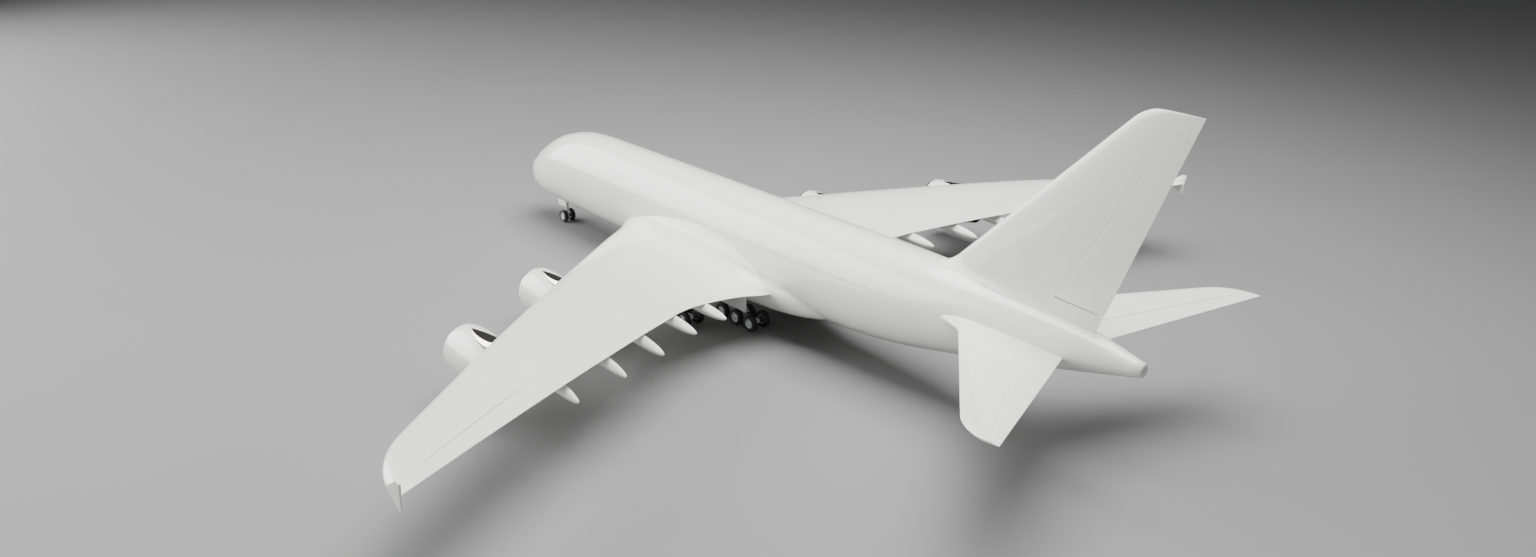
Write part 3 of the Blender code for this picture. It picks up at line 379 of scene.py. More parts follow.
# Each finish's slot, its colour, roughness and share of metal, and what else sets it apart.
FINISH_LOOKS = {
    "white_paint": ("white_paint", (0.80, 0.80, 0.78), 0.34, 0.0,
        dict(mottle=0.012, mottle_scale=0.25, grain=0.0006, grain_scale=9.0, rough_swing=0.04, coat=0.8,
             coat_roughness=0.03)),
    "polished_metal": ("polished_metal", (0.80, 0.78, 0.74), 0.07, 1.0,
        dict(mottle_scale=1.5, rough_swing=0.02)),
    "lip_metal": ("engine_metal", (0.40, 0.40, 0.41), 0.14, 1.0, dict(mottle_scale=2.0, rough_swing=0.04)),
    "duct_liner": ("engine_metal", (0.36, 0.37, 0.38), 0.55, 0.3,
        dict(mottle=0.06, mottle_scale=3.0, grain=0.001, grain_scale=90.0)),
    "fan_metal": ("engine_metal", (0.30, 0.30, 0.315), 0.30, 1.0,
        dict(mottle=0.06, mottle_scale=5.0, rough_swing=0.08)),
    "spinner_paint": ("engine_metal", (0.055, 0.056, 0.06), 0.32, 0.0,
        dict(mottle=0.10, mottle_scale=6.0, coat=0.4)),
    "exhaust_metal": ("engine_metal", (0.27, 0.235, 0.205), 0.34, 1.0,
        dict(mottle=0.16, mottle_scale=2.5, rough_swing=0.1, tint=(0.9, 0.85, 0.85))),
    "gear_paint": ("gear_steel", (0.60, 0.61, 0.62), 0.38, 0.0,
        dict(mottle=0.05, mottle_scale=6.0, grain=0.0004, grain_scale=60.0, coat=0.3)),
    "piston_chrome": ("gear_steel", (0.78, 0.79, 0.80), 0.08, 1.0,
        dict(mottle_scale=9.0, rough_swing=0.03)),
    "rim_paint": ("gear_steel", (0.66, 0.665, 0.67), 0.33, 0.2,
        dict(mottle=0.05, mottle_scale=9.0, coat=0.3)),
    "brake_carbon": ("gear_steel", (0.05, 0.05, 0.052), 0.6, 0.2,
        dict(mottle=0.15, mottle_scale=20.0, grain=0.001, grain_scale=120.0)),
    "tyre_rubber": ("tyre_rubber", (0.028, 0.028, 0.030), 0.72, 0.0,
        dict(mottle=0.18, mottle_scale=7.0, grain=0.0008, grain_scale=160.0, rough_swing=0.10)),
    "hose_rubber": ("gear_steel", (0.03, 0.03, 0.03), 0.5, 0.0,
        dict(mottle=0.1, mottle_scale=20.0, grain=0.0004, grain_scale=200.0)),
    "flight_deck_glass": ("white_paint", (0.012, 0.014, 0.017), 0.06, 0.0,
        dict(mottle=0.05, rough_swing=0.02, coat=1.0, coat_roughness=0.02)),
}


# Curves that the shapes share

def smooth_value(table, column, at):
    """Monotone cubic through one column of a table, which never overshoots its own points."""
    knots = [row[0] for row in table]
    values = [row[column] for row in table]
    if at <= knots[0]:
        return values[0]
    if at >= knots[-1]:
        return values[-1]
    steps = [knots[i + 1] - knots[i] for i in range(len(knots) - 1)]
    slopes = [(values[i + 1] - values[i]) / steps[i] for i in range(len(steps))]
    tangents = [slopes[0]]
    for before, after, h0, h1 in zip(slopes, slopes[1:], steps, steps[1:]):
        if before * after <= 0.0:
            tangents.append(0.0)
        else:
            w0 = 2.0 * h1 + h0
            w1 = h1 + 2.0 * h0
            tangents.append((w0 + w1) / (w0 / before + w1 / after))
    tangents.append(slopes[-1])
    i = max(k for k in range(len(steps)) if knots[k] <= at)
    h = steps[i]
    t = (at - knots[i]) / h
    return ((2 * t ** 3 - 3 * t ** 2 + 1) * values[i] + (t ** 3 - 2 * t ** 2 + t) * h * tangents[i]
            + (3 * t ** 2 - 2 * t ** 3) * values[i + 1] + (t ** 3 - t ** 2) * h * tangents[i + 1])


def mix(a, b, t):
    return a + (b - a) * t


def spaced(first, last, count):
    return [first + (last - first) * k / (count - 1) for k in range(count)]


def signed_power(value, power):
    return (abs(value) ** power) * (1.0 if value >= 0.0 else -1.0)


def rooted(table):
    """The body's table against the root of the distance from the nose, which rounds the nose off."""
    return [(sqrt(row[0] - table[0][0]), *row[1:]) for row in table]


ROOTED_FUSELAGE = rooted(FUSELAGE)


# Mesh tools

def lofted(rings, close=(True, True)):
    """Skin a row of equal rings by drawing the first one out along them."""
    bm = bmesh.new()
    order = bm.verts.layers.int.new("order")
    verts = bmesh.ops.create_circle(bm, segments=len(rings[0]), radius=1.0)["verts"]
    for k, vert in enumerate(verts):
        vert[order] = k
        vert.co = rings[0][k]
    edges = bm.edges[:]
    if close[0]:
        bmesh.ops.contextual_create(bm, geom=edges)
    for ring in rings[1:]:
        grown = bmesh.ops.extrude_edge_only(bm, edges=edges)["geom"]
        edges = [item for item in grown if isinstance(item, bmesh.types.BMEdge)]
        for vert in grown:
            if isinstance(vert, bmesh.types.BMVert):
                vert.co = ring[vert[order]]
    if close[1]:
        bmesh.ops.contextual_create(bm, geom=edges)
    bmesh.ops.recalc_face_normals(bm, faces=bm.faces)
    return bm


def spun(profile, steps, centre=Vector((0.0, 0.0, 0.0)), axis=AFT, closed=False):
    """Spin a profile of (along, radius) about an axis; a closed profile makes a hollow ring."""
    bm = bmesh.new()
    across = UP if abs(axis.z) < 0.5 else PORT
    verts = [bm.verts.new(centre + axis * along + across * radius) for along, radius in profile]
    pairs = list(zip(verts, verts[1:]))
    if closed:
        pairs.append((verts[-1], verts[0]))
    edges = [bm.edges.new(pair) for pair in pairs]
    bmesh.ops.spin(bm, geom=verts + edges, cent=centre, axis=axis, angle=2.0 * pi, steps=steps,
                   use_merge=True)
    bmesh.ops.remove_doubles(bm, verts=bm.verts, dist=1e-5)
    bmesh.ops.recalc_face_normals(bm, faces=bm.faces)
    return bm


def bar(start, end, radius, sides=24, end_radius=None):
    """A round bar or taper between two points."""
    bm = bmesh.new()
    start = Vector(start)
    end = Vector(end)
    along = end - start
    bmesh.ops.create_cone(bm, cap_ends=True, segments=sides, radius1=radius,
                          radius2=radius if end_radius is None else end_radius, depth=along.length)
    turn = along.to_track_quat("Z", "Y").to_matrix().to_4x4()
    bmesh.ops.transform(bm, matrix=Matrix.Translation((start + end) / 2) @ turn, verts=bm.verts)
    return bm


def block(low, high, edge=0.0):
    """A box between two corners with rounded edges."""
    bm = bmesh.new()
    bmesh.ops.create_cube(bm, size=1.0)
    low = Vector(low)
    high = Vector(high)
    for vert in bm.verts:
        vert.co = Vector([mix(low[k], high[k], vert.co[k] + 0.5) for k in range(3)])
    if edge:
        bmesh.ops.bevel(bm, geom=bm.edges[:], offset=edge, offset_type="OFFSET", segments=3,
                        profile=0.5, affect="EDGES", material=-1)
    return bm


def gathered(*shapes):
    """Several shapes as one bmesh."""
    whole = bmesh.new()
    for shape in shapes:
        spare = bpy.data.meshes.new("spare")
        shape.to_mesh(spare)
        shape.free()
        whole.from_mesh(spare)
        bpy.data.meshes.remove(spare)
    return whole


def place_on_model(bm):
    shift = Matrix.Translation((0.0, -MIDDLE_STATION, 0.0))
    bmesh.ops.transform(bm, matrix=Matrix.Scale(SCALE, 4) @ shift, verts=bm.verts)


def piece(name, bm, finish, body=ROOT_BODY, stands_for=(), slot=None, sharp=40.0):
    """Finish a shape as an object that rides on a body and stands for its plain solids."""
    place_on_model(bm)
    mesh = bpy.data.meshes.new(name)
    bm.to_mesh(mesh)
    bm.free()
    mesh.materials.append(FINISHES[finish])
    mesh.shade_smooth()
    mesh.set_sharp_from_angle(angle=radians(sharp))
    obj = bpy.data.objects.new(name, mesh)
    bpy.context.scene.collection.objects.link(obj)
    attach(obj, body)
    if stands_for:
        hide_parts(*stands_for)
    slot or FINISH_LOOKS[finish][0]
    return obj


def both_sides(name, bm, finish, body=ROOT_BODY, stands_for=(), **options):
    """A port piece and its mirror image to starboard; names ending in _port change with it."""
    twin = bm.copy()
    bmesh.ops.scale(twin, vec=(-1.0, 1.0, 1.0), verts=twin.verts)
    bmesh.ops.reverse_faces(twin, faces=twin.faces)
    made = []
    for shape, side in ((bm, "port"), (twin, "starboard")):
        here = body.replace("_port", "_" + side)
        nodes = [node.replace("_port", "_" + side) for node in stands_for]
        made.append(piece(f"{name}_{side}", shape, finish, here, nodes, **options))
    return made


# Fuselage and belly fairing

def oval(station, half_width, keel, crown, level, sides, powers, grow=0.0):
    """One cross-section: an upper and a lower superellipse that meet at the widest level."""
    points = []
    for k in range(sides):
        angle = 2.0 * pi * (k + 0.5) / sides
        upper = sin(angle) >= 0.0
        power = 2.0 / powers[0 if upper else 1]
        rise = (crown - level if upper else level - keel) + grow
        points.append(Vector(((half_width + grow) * signed_power(cos(angle), power), station,
                              level + rise * signed_power(sin(angle), power))))
    return points


def body_ring(station, sides, grow=0.0):
    at = sqrt(station - NOSE_STATION)
    sizes = [smooth_value(ROOTED_FUSELAGE, column, at) for column in (1, 2, 3, 4)]
    return oval(station, *sizes, sides, BODY_POWERS, grow)


def set_back(point, stands=0.0):
    """Move a point of the nose aft to the windscreen, which is deepest at its sill."""
    if not SCREEN_SILL < point.z < SCREEN_HEAD or abs(point.x) > SCREEN_HALF_WIDTH or point.y > SCREEN_END:
        return point
    share = (point.z - SCREEN_SILL) / (SCREEN_HEAD - SCREEN_SILL)
    return point + AFT * (SCREEN_DEPTH * (1.0 - share * share) - stands)


def make_windscreen(stations):
    """Panes cut from the recessed skin of the nose, a little in front of it."""
    panes = []
    for low, high in PANE_EDGES:
        pane = lofted([[set_back(point, PANE_STANDS) for point in body_ring(station, BODY_SIDES)]
                       for station in stations], close=(False, False))
        for direction, at, beyond in ((PORT, low, False), (PORT, high, True),
                                      (UP, PANE_HEIGHTS[0], False), (UP, PANE_HEIGHTS[1], True)):
            bmesh.ops.bisect_plane(pane, geom=pane.verts[:] + pane.edges[:] + pane.faces[:],
                                   plane_co=direction * at, plane_no=direction,
                                   clear_outer=beyond, clear_inner=not beyond)
        bmesh.ops.solidify(pane, geom=pane.faces[:], thickness=PANE_THICKNESS)
        panes.append(pane)
    both_sides("windscreen", gathered(*panes), "flight_deck_glass")


def make_fuselage():
    nose = [NOSE_STATION + 3.4 * (k / 78.0) ** 1.6 for k in range(1, 79)]
    stations = nose + spaced(6.2, 10.7, 22) + spaced(11.2, 43.6, 28) + spaced(44.8, TAIL_CONE_END - 0.05, 40)
    skin = [[set_back(point) for point in body_ring(station, BODY_SIDES)] for station in stations]
    skin.append(body_ring(TAIL_CONE_END, BODY_SIDES, -0.05))
    piece("fuselage_skin", lofted(skin), "white_paint", stands_for=("fuselage",))
    make_windscreen(nose[10:70])
    cap = spun(((-0.02, 0.0), (-0.02, TAIL_CAP_RADIUS), (0.006, TAIL_CAP_RADIUS), (0.008, 0.29),
                (0.002, 0.28), (0.002, 0.0)), 64, Vector((0.0, TAIL_CONE_END, TAIL_CONE_LEVEL)))
    piece("tail_end_cap", cap, "rim_paint", slot="engine_metal")


def make_fairing():
    table = [(station, width, keel, top, level) for station, width, keel, level, top in FAIRING]
    rings = []
    for station in spaced(FAIRING[0][0], FAIRING[-1][0], 72):
        sizes = [smooth_value(table, column, station) for column in (1, 2, 3, 4)]
        rings.append(oval(station, *sizes, FAIRING_SIDES, FAIRING_POWERS))
    piece("belly_fairing_skin", lofted(rings), "white_paint", stands_for=("belly_fairing",))


# Wings and tail surfaces

Section = namedtuple("Section", "nose tail depth camber normal swell_top swell_below")
Hinge = namedtuple("Hinge", "section_at share low high first last")
Plane = namedtuple("Plane", "at centre across normal along face radius")


def section_depth(section, share):
    """Half thickness at a share of the chord, with a thin blunt trailing edge."""
    shape = 5.0 * (0.2969 * sqrt(share) - 0.1260 * share - 0.3516 * share ** 2
                   + 0.2843 * share ** 3 - 0.1036 * share ** 4)
    return section.depth * (section.tail - section.nose).length * shape + 0.012 * share


def skin_point(section, share, side):
    chord = section.tail - section.nose
    rise = section.camber * chord.length * 4.0 * share * (1.0 - share)
    swell = section.swell_top if side > 0 else section.swell_below
    bulge = swell * max(sin(pi * share ** ROOT_FILLET_LEAN), 0.0) ** ROOT_FILLET_RISE
    depth = section_depth(section, share) + bulge
    return section.nose + chord * share + section.normal * (rise + side * depth)


def make_hinge(section_at, low, high, share):
    """A straight hinge line through the sections at both ends of a control surface."""
    ends = []
    for at in (low, high):
        section = section_at(at)
        chord = section.tail - section.nose
        rise = section.camber * chord.length * 4.0 * share * (1.0 - share)
        ends.append(section.nose + chord * share + section.normal * rise)
    return Hinge(section_at, share, low, high, ends[0], ends[1])


def on_hinge(hinge, at):
    return mix(hinge.first, hinge.last, (at - hinge.low) / (hinge.high - hinge.low))


def hinge_plane(hinge, at, square=1.0):
    """The plane of a ring through a hinge, from along the section there (0) to square to the hinge (1)."""
    section = hinge.section_at(at)
    along = (hinge.last - hinge.first).normalized()
    chord = (section.tail - section.nose).normalized()
    across = (chord - along * chord.dot(along)).normalized()
    normal = along.cross(across)
    if normal.dot(section.normal) < 0.0:
        normal = -normal
    face = along - across * ((1.0 - square) * chord.dot(along) / chord.dot(across))
    return Plane(at, on_hinge(hinge, at), across, normal, along, face.normalized(),
                 section_depth(section, hinge.share))


def plane_span(hinge, plane, share, side):
    """Where along the surface one of its lengthwise lines crosses a ring's plane."""
    step = 0.01 * (hinge.high - hinge.low)
    at = plane.at
    for _ in range(6):
        here = (skin_point(hinge.section_at(at), share, side) - plane.centre).dot(plane.face)
        there = (skin_point(hinge.section_at(at + step), share, side) - plane.centre).dot(plane.face)
        at -= here * step / (there - here)
    return at


def hinge_arc(plane, radius, first, last, count):
    """Points round the hinge from one angle to another, slid along it into the ring's plane."""
    points = []
    for angle in spaced(first, last, count):
        offset = (plane.normal * sin(angle) - plane.across * cos(angle)) * radius
        slide = offset.dot(plane.face) / plane.along.dot(plane.face)
        points.append(plane.centre + offset - plane.along * slide)
    return points


def lip_of(hinge, plane, radius, side):
    """Share and angle at which the cove's round wall comes through the skin ahead of the hinge."""
    share = hinge.share
    while True:
        share -= 0.0005
        at = plane_span(hinge, plane, share, side)
        offset = skin_point(hinge.section_at(at), share, side) - plane.centre
        ahead = -offset.dot(plane.across)
        height = offset.dot(plane.normal)
        if hypot(ahead, height) >= radius and ahead >= LIP_AHEAD * radius:
            return share, atan2(height, ahead)


def bent_point(hinge, plane, share, side):
    """A skin point that leaves its own section towards the tail for the ring's plane."""
    bend = min(max((share - BEND_START) / (hinge.share - BEND_START), 0.0), 1.0)
    if bend == 0.0:
        return skin_point(hinge.section_at(plane.at), share, side)
    at = mix(plane.at, plane_span(hinge, plane, share, side), bend * bend * (3.0 - 2.0 * bend))
    return skin_point(hinge.section_at(at), share, side)


def outline(points_at, tops, nose, count=28):
    """Skin points from the upper end round the nose to the lower one."""
    rows = []
    for top, side in zip(tops, (1, -1)):
        rows.append([points_at(top * (1.0 - cos(pi / 2.0 * k / count)), side) for k in range(1, count + 1)])
    return rows[0][::-1] + [nose] + rows[1]


def tail_points(points_at, first, count=8):
    """Points back along the lower skin to the trailing edge and forward along the upper one."""
    shares = [mix(first, 1.0, k / count) for k in range(1, count + 1)]
    return [points_at(share, -1) for share in shares] + [points_at(share, 1) for share in reversed(shares)]


def plain_ring(section, skin_end):
    def points_at(share, side):
        return skin_point(section, share, side)

    return outline(points_at, (skin_end, skin_end), section.nose) + tail_points(points_at, skin_end)


def hinged_ring(hinge, plane, hollow, arc=16):
    """A ring through the hinge; a hollow one ends in a round cove for the moving surface."""
    def points_at(share, side):
        return bent_point(hinge, plane, share, side)

    radius = plane.radius + RUN
    (upper, first), (lower, last) = [lip_of(hinge, plane, radius, side) for side in (1, -1)]
    skin = outline(points_at, (upper, lower), hinge.section_at(plane.at).nose)
    if not hollow:
        return skin + tail_points(points_at, hinge.share)
    step = (last - first) / (arc + 1)
    return skin + hinge_arc(plane, radius, last - step, first + step, arc)


def squareness(hinge, at, foot_square):
    """How square a ring is to the hinge; a foot along the section turns square further out."""
    if foot_square:
        return 1.0
    return min((at - hinge.low) / (0.35 * (hinge.high - hinge.low)), 1.0)


def fixed_rings(hinge, inner, outer, foot_square=True, count=28):
    """Rings along a surface with a notch for its moving parts between upright end walls."""
    step = 0.0002 * (hinge.high - hinge.low)
    marks = [(hinge.low, False)]
    marks += [(at, True) for at in spaced(hinge.low + step, hinge.high - step, count)]
    marks.append((hinge.high, False))
    rings = [plain_ring(hinge.section_at(at), hinge.share) for at in inner]
    for at, hollow in marks:
        plane = hinge_plane(hinge, at, squareness(hinge, at, foot_square))
        rings.append(hinged_ring(hinge, plane, hollow))
    return rings + [plain_ring(hinge.section_at(at), hinge.share) for at in outer]


def moving_ring(hinge, plane, skins=12, arc=18):
    """The outline of a control surface: a round nose about the hinge and the skins behind it."""
    shares = [mix(hinge.share, 1.0, k / skins) for k in range(1, skins + 1)]
    upper, lower = [[skin_point(hinge.section_at(plane_span(hinge, plane, share, side)), share, side)
                     for share in shares] for side in (1, -1)]
    return upper[::-1] + hinge_arc(plane, plane.radius, pi / 2.0, -pi / 2.0, arc + 1) + lower


def control_surface(hinge, low, high, gaps, foot_square=True, count=28):
    """A moving surface between two places on its hinge, held back from them by the gaps."""
    reach = (hinge.last - hinge.first).length / (hinge.high - hinge.low)
    places = spaced(low + gaps[0] / reach, high - gaps[1] / reach, count)
    return lofted([moving_ring(hinge, hinge_plane(hinge, at, squareness(hinge, at, foot_square)))
                   for at in places])


def fillet(distance, radius):
    """How far a fillet of this radius stands out at a distance from the wall."""
    if distance >= radius:
        return 0.0
    inside = radius - max(distance, 0.02 * radius)
    return radius - sqrt(radius ** 2 - inside ** 2)


def round_off(at, start, end, reach):
    """How far an elliptical tip corner has swept an edge aft."""
    if at <= start:
        return 0.0
    t = min((at - start) / (end - start), 0.995)
    return reach * (1.0 - sqrt(1.0 - t * t))


def wing_section(span):
    nose = Vector((span, smooth_value(WING, 1, span), smooth_value(WING, 2, span)))
    tail = Vector((span, smooth_value(WING, 3, span), smooth_value(WING, 4, span)))
    swell_top = fillet(span - ROOT_WALL_TOP, ROOT_FILLET)
    swell_below = fillet(span - ROOT_WALL_BELOW, ROOT_FILLET) * 0.6
    nose.y -= (swell_top + swell_below) / 6.0
    nose.y += round_off(span, *WING_TIP_ROUND)
    chord = tail - nose
    normal = Vector((0.0, -chord.z, chord.y)).normalized()
    return Section(nose, tail, smooth_value(WING, 5, span), WING_CAMBER, normal, swell_top, swell_below)


def fin_section(height):
    """A section of the fin at a share of its height."""
    nose, tail = [mix(Vector((0.0, *foot)), Vector((0.0, *top)), height)
                  for foot, top in (FIN_NOSE, FIN_TAIL)]
    swell = fillet(height * (FIN_NOSE[1][1] - FIN_NOSE[0][1]) + FIN_FILLET_FOOT, FIN_FILLET)
    nose.y -= swell
    nose.y += round_off(height, *FIN_ROUND)
    side_swell = swell * FIN_FILLET_SWELL
    return Section(nose, tail, mix(*FIN_DEPTH, height), 0.0, PORT, side_swell, side_swell)


def tail_section(span):
    out = span - TAIL_ORIGIN
    nose = Vector((span, TAIL_NOSE[0] + TAIL_NOSE[1] * out, TAIL_NOSE[2] + TAIL_NOSE[3] * out))
    tail = Vector((span, TAIL_TAIL[0] + TAIL_TAIL[1] * out, TAIL_TAIL[2] + TAIL_TAIL[3] * out))
    if span < TAIL_STRAKE:
        nose.y -= TAIL_STRAKE_SWEEP * (TAIL_STRAKE - span) ** 2
    nose.y += round_off(span, *TAIL_ROUND)
    chord = tail - nose
    normal = Vector((0.0, -chord.z, chord.y)).normalized()
    share = span / TAIL_ROUND[1]
    return Section(nose, tail, mix(*TAIL_DEPTH, share), 0.0, normal, 0.0, 0.0)


def rounded_tip(start, end, count):
    """Stations towards a rounded tip, closer together as the edge turns."""
    return [start + (end - start) * sin(pi / 2.0 * k / count) for k in range(1, count + 1)]


def track_fairing(span, tip_station, tip_height):
    """A canoe-shaped fairing under the wing with a soft chine along each side."""
    section = wing_section(span)
    front_height = skin_point(section, TRACK_FRONT_SHARE, -1).z - 0.02
    front = Vector((span, tip_station - TRACK_LENGTH, front_height))
    tip = Vector((span, tip_station, tip_height))
    rings = []
    for k in range(1, 48):
        t = (1.0 - cos(pi * k / 48.0)) / 2.0
        reach = abs(2.0 * t ** 0.9 - 1.0)
        fullness = (1.0 - reach ** TRACK_TAIL_FULLNESS) ** 0.55
        centre = mix(front, tip, t)
        ring = []
        for j in range(TRACK_SIDES):
            angle = 2.0 * pi * (j + 0.5) / TRACK_SIDES
            out = TRACK_HALF_WIDTH * fullness * signed_power(cos(angle), TRACK_CHINE)
            rise = TRACK_HALF_DEPTH * fullness * signed_power(sin(angle), TRACK_CHINE)
            ring.append(centre + Vector((out, 0.0, rise)))
        rings.append(ring)
    return lofted(rings)


def make_wings():
    hinge = make_hinge(wing_section, *AILERON)
    root = [ROOT_WALL_TOP + ROOT_FILLET * (1.0 - cos(pi / 2.0 * k / 18)) for k in range(1, 19)]
    inner = [2.6, 3.1] + root + spaced(5.9, 27.4, 32)
    outer = spaced(37.7, 38.3, 3) + rounded_tip(38.3, WING_END, 12)
    skin = lofted(fixed_rings(hinge, inner, outer))
    both_sides("wing_skin", skin, "white_paint", stands_for=("wing_port",))
    tracks = gathered(*[track_fairing(*place) for place in TRACK_FAIRINGS])
    both_sides("track_fairings", tracks, "white_paint")
    aileron = control_surface(hinge, hinge.low, hinge.high, (END_GAP, END_GAP))
    both_sides("aileron_skin", aileron, "white_paint", "aileron_port", ("aileron_port",))


def make_fences():
    bm = bmesh.new()
    verts = [bm.verts.new((WING_END, station, height)) for station, height in FENCE_OUTLINE]
    for pair in zip(verts, verts[1:] + verts[:1]):
        bm.edges.new(pair)
    bmesh.ops.contextual_create(bm, geom=bm.edges[:])
    bmesh.ops.bevel(bm, geom=verts, offset=FENCE_CORNER, offset_type="OFFSET", segments=5, profile=0.5,
                    affect="VERTICES", material=-1)
    face = bm.faces[:]
    drawn = bmesh.ops.extrude_face_region(bm, geom=face)["geom"]
    moved = [item for item in drawn if isinstance(item, bmesh.types.BMVert)]
    bmesh.ops.translate(bm, vec=(FENCE_THICKNESS, 0.0, 0.0), verts=moved)
    edges = [edge for edge in bm.edges if edge.calc_face_angle(0.0) > 1.0]
    bmesh.ops.bevel(bm, geom=edges, offset=FENCE_EDGE, offset_type="OFFSET", segments=4, profile=0.5,
                    affect="EDGES", material=-1)
    bmesh.ops.recalc_face_normals(bm, faces=bm.faces)
    both_sides("fence_skin", bm, "white_paint", stands_for=("tip_fence_port",))


def make_fin():
    hinge = make_hinge(fin_section, RUDDER_FOOT, RUDDER_TOP, RUDDER_HINGE)
    inner = spaced(-0.09, 0.07, 24)
    outer = [0.934] + rounded_tip(0.942, 1.0, 12)
    piece("fin_skin", lofted(fixed_rings(hinge, inner, outer, False)), "white_paint", stands_for=("fin",))
    lower = control_surface(hinge, RUDDER_FOOT, RUDDER_SPLIT, (RUDDER_FOOT_GAP, END_GAP / 2.0), False)
    upper = control_surface(hinge, RUDDER_SPLIT, RUDDER_TOP, (END_GAP / 2.0, END_GAP))
    piece("rudder_lower_skin", lower, "white_paint", "rudder_lower", ("rudder_lower",))
    piece("rudder_upper_skin", upper, "white_paint", "rudder_upper", ("rudder_upper",))


def make_tailplanes():
    hinge = make_hinge(tail_section, *ELEVATOR)
    inner = spaced(1.2, 3.6, 18)
    outer = rounded_tip(14.1, TAIL_ROUND[1], 12)
    both_sides("tailplane_skin", lofted(fixed_rings(hinge, inner, outer)), "white_paint",
               stands_for=("tailplane_port",))
    elevator = control_surface(hinge, hinge.low, hinge.high, (END_GAP, END_GAP))
    both_sides("elevator_skin", elevator, "white_paint", "elevator_port", ("elevator_port",))


# Engines

def rooted_value(table, at):
    """A nacelle radius, read against the root of the distance so that the lip is round."""
    return smooth_value([(sqrt(s), r) for s, r in table], 1, sqrt(at))


def make_cowl(name, centre):
    lip_out = [LIP_DEPTH * (k / 12.0) ** 2 for k in range(13)]
    lip = [(s, rooted_value(NACELLE_INSIDE, s)) for s in reversed(lip_out)]
    lip += [(s, rooted_value(NACELLE_OUTSIDE, s)) for s in lip_out[1:]]
    lip += [(LIP_DEPTH, lip[-1][1] - 0.03), (LIP_DEPTH * 0.6, 1.53), (LIP_DEPTH, lip[0][1] + 0.03)]
    both_sides(f"intake_lip_{name}", spun(lip, NACELLE_SIDES, centre, closed=True), "lip_metal")
    outside = [(s, rooted_value(NACELLE_OUTSIDE, s)) for s in spaced(LIP_DEPTH + 0.008, COWL_END[0], 44)]
    for joint in COWL_JOINTS:
        radius = rooted_value(NACELLE_OUTSIDE, joint)
        outside += [(joint - 0.012, radius), (joint - 0.008, radius - 0.012), (joint + 0.008, radius - 0.012),
                    (joint + 0.012, radius)]
    outside.sort()
    inside = [(s, r - COWL_WALL) for s, r in reversed(outside[::6])]
    cowl = spun(outside + [COWL_END] + inside, NACELLE_SIDES, centre, closed=True)
    both_sides(f"cowl_{name}", cowl, "white_paint", stands_for=(f"nacelle_{name}_port",), sharp=30.0)
    walls = [(s, rooted_value(NACELLE_INSIDE, s)) for s in spaced(LIP_DEPTH + 0.004, COWL_END[0] - 0.01, 40)]
    behind = [(s, r + 0.02) for s, r in reversed(walls[::6])]
    both_sides(f"duct_{name}", spun(walls + behind, ENGINE_SIDES, centre, closed=True), "duct_liner")


def make_core(name, centre):
    front = CORE_OUTSIDE[0][0]
    back = CORE_OUTSIDE[-1][0]
    outside = [(s, smooth_value(CORE_OUTSIDE, 1, s)) for s in spaced(front, back, 36)]
    nozzle = [(back, 0.585), (6.0, 0.62), (5.5, 0.64), (5.5, 0.30), (5.5, 0.0)]
    core = spun([(front, 0.0)] + outside + nozzle, ENGINE_SIDES, centre)
    both_sides(f"core_cowl_{name}", core, "exhaust_metal", stands_for=(f"core_{name}_port",))
    cone = [(s, smooth_value(PLUG, 1, s)) for s in spaced(5.42, PLUG[-1][0], 24)]
    plug = spun([(5.42, 0.0)] + cone + [(7.905, 0.0)], 64, centre)
    both_sides(f"exhaust_plug_{name}", plug, "exhaust_metal")
    vanes = bmesh.new()
    shape = (Matrix.Translation(VANE_PLACE) @ Matrix.Rotation(radians(VANE_TURN), 4, "Z")
             @ Matrix.Diagonal((*VANE_SIZE, 1.0)))
    for k in range(VANES):
        made = bmesh.ops.create_cube(vanes, size=1.0)["verts"]
        place = Matrix.Translation(centre) @ Matrix.Rotation(2.0 * pi * k / VANES, 4, "Y")
        bmesh.ops.transform(vanes, matrix=place @ shape, verts=made)
    both_sides(f"stator_vanes_{name}", vanes, "duct_liner")


def blade_ring(radius, share):
    """One section of a fan blade, wider and more turned towards its tip."""
    half_chord = mix(*BLADE_CHORD, share)
    turn = radians(mix(*BLADE_TURN, share ** 0.8))
    bow = mix(*BLADE_BOW, share)
    points = []
    for k in range(20):
        angle = 2.0 * pi * k / 20.0
        along = cos(angle)
        thick = mix(*BLADE_THICKNESS, share) * sin(angle) * (1.0 - 0.35 * along)
        side = thick + bow * (1.0 - along * along)
        x = half_chord * along * sin(turn) + side * cos(turn)
        y = half_chord * along * cos(turn) - side * sin(turn)
        points.append(Vector((x, FAN_MIDDLE + y, sqrt(max(radius * radius - x * x, 0.01)))))
    return points


def make_fan(name, centre):
    body = f"fan_{name}_port"
    blade = lofted([blade_ring(mix(FAN_ROOT, FAN_TIP, t), t) for t in spaced(0.0, 1.0, 14)])
    blades = []
    for k in range(FAN_BLADES):
        twin = blade.copy()
        turn = Matrix.Rotation(2.0 * pi * k / FAN_BLADES, 4, "Y")
        bmesh.ops.transform(twin, matrix=Matrix.Translation(centre) @ turn, verts=twin.verts)
        blades.append(twin)
    blade.free()
    both_sides(f"fan_blades_{name}", gathered(*blades), "fan_metal", body, (body,))
    nose, length = SPINNER[0][0], SPINNER[-1][0] - SPINNER[0][0]
    rows = []
    for k in range(21):
        behind = length * (k / 20.0) ** 2
        rows.append((nose + behind, smooth_value([(sqrt(s - nose), r) for s, r in SPINNER], 1, sqrt(behind))))
    spinner = spun(rows + [(1.62, 0.44), (1.62, 0.0)], 72, centre)
    both_sides(f"spinner_{name}", spinner, "spinner_paint", body)


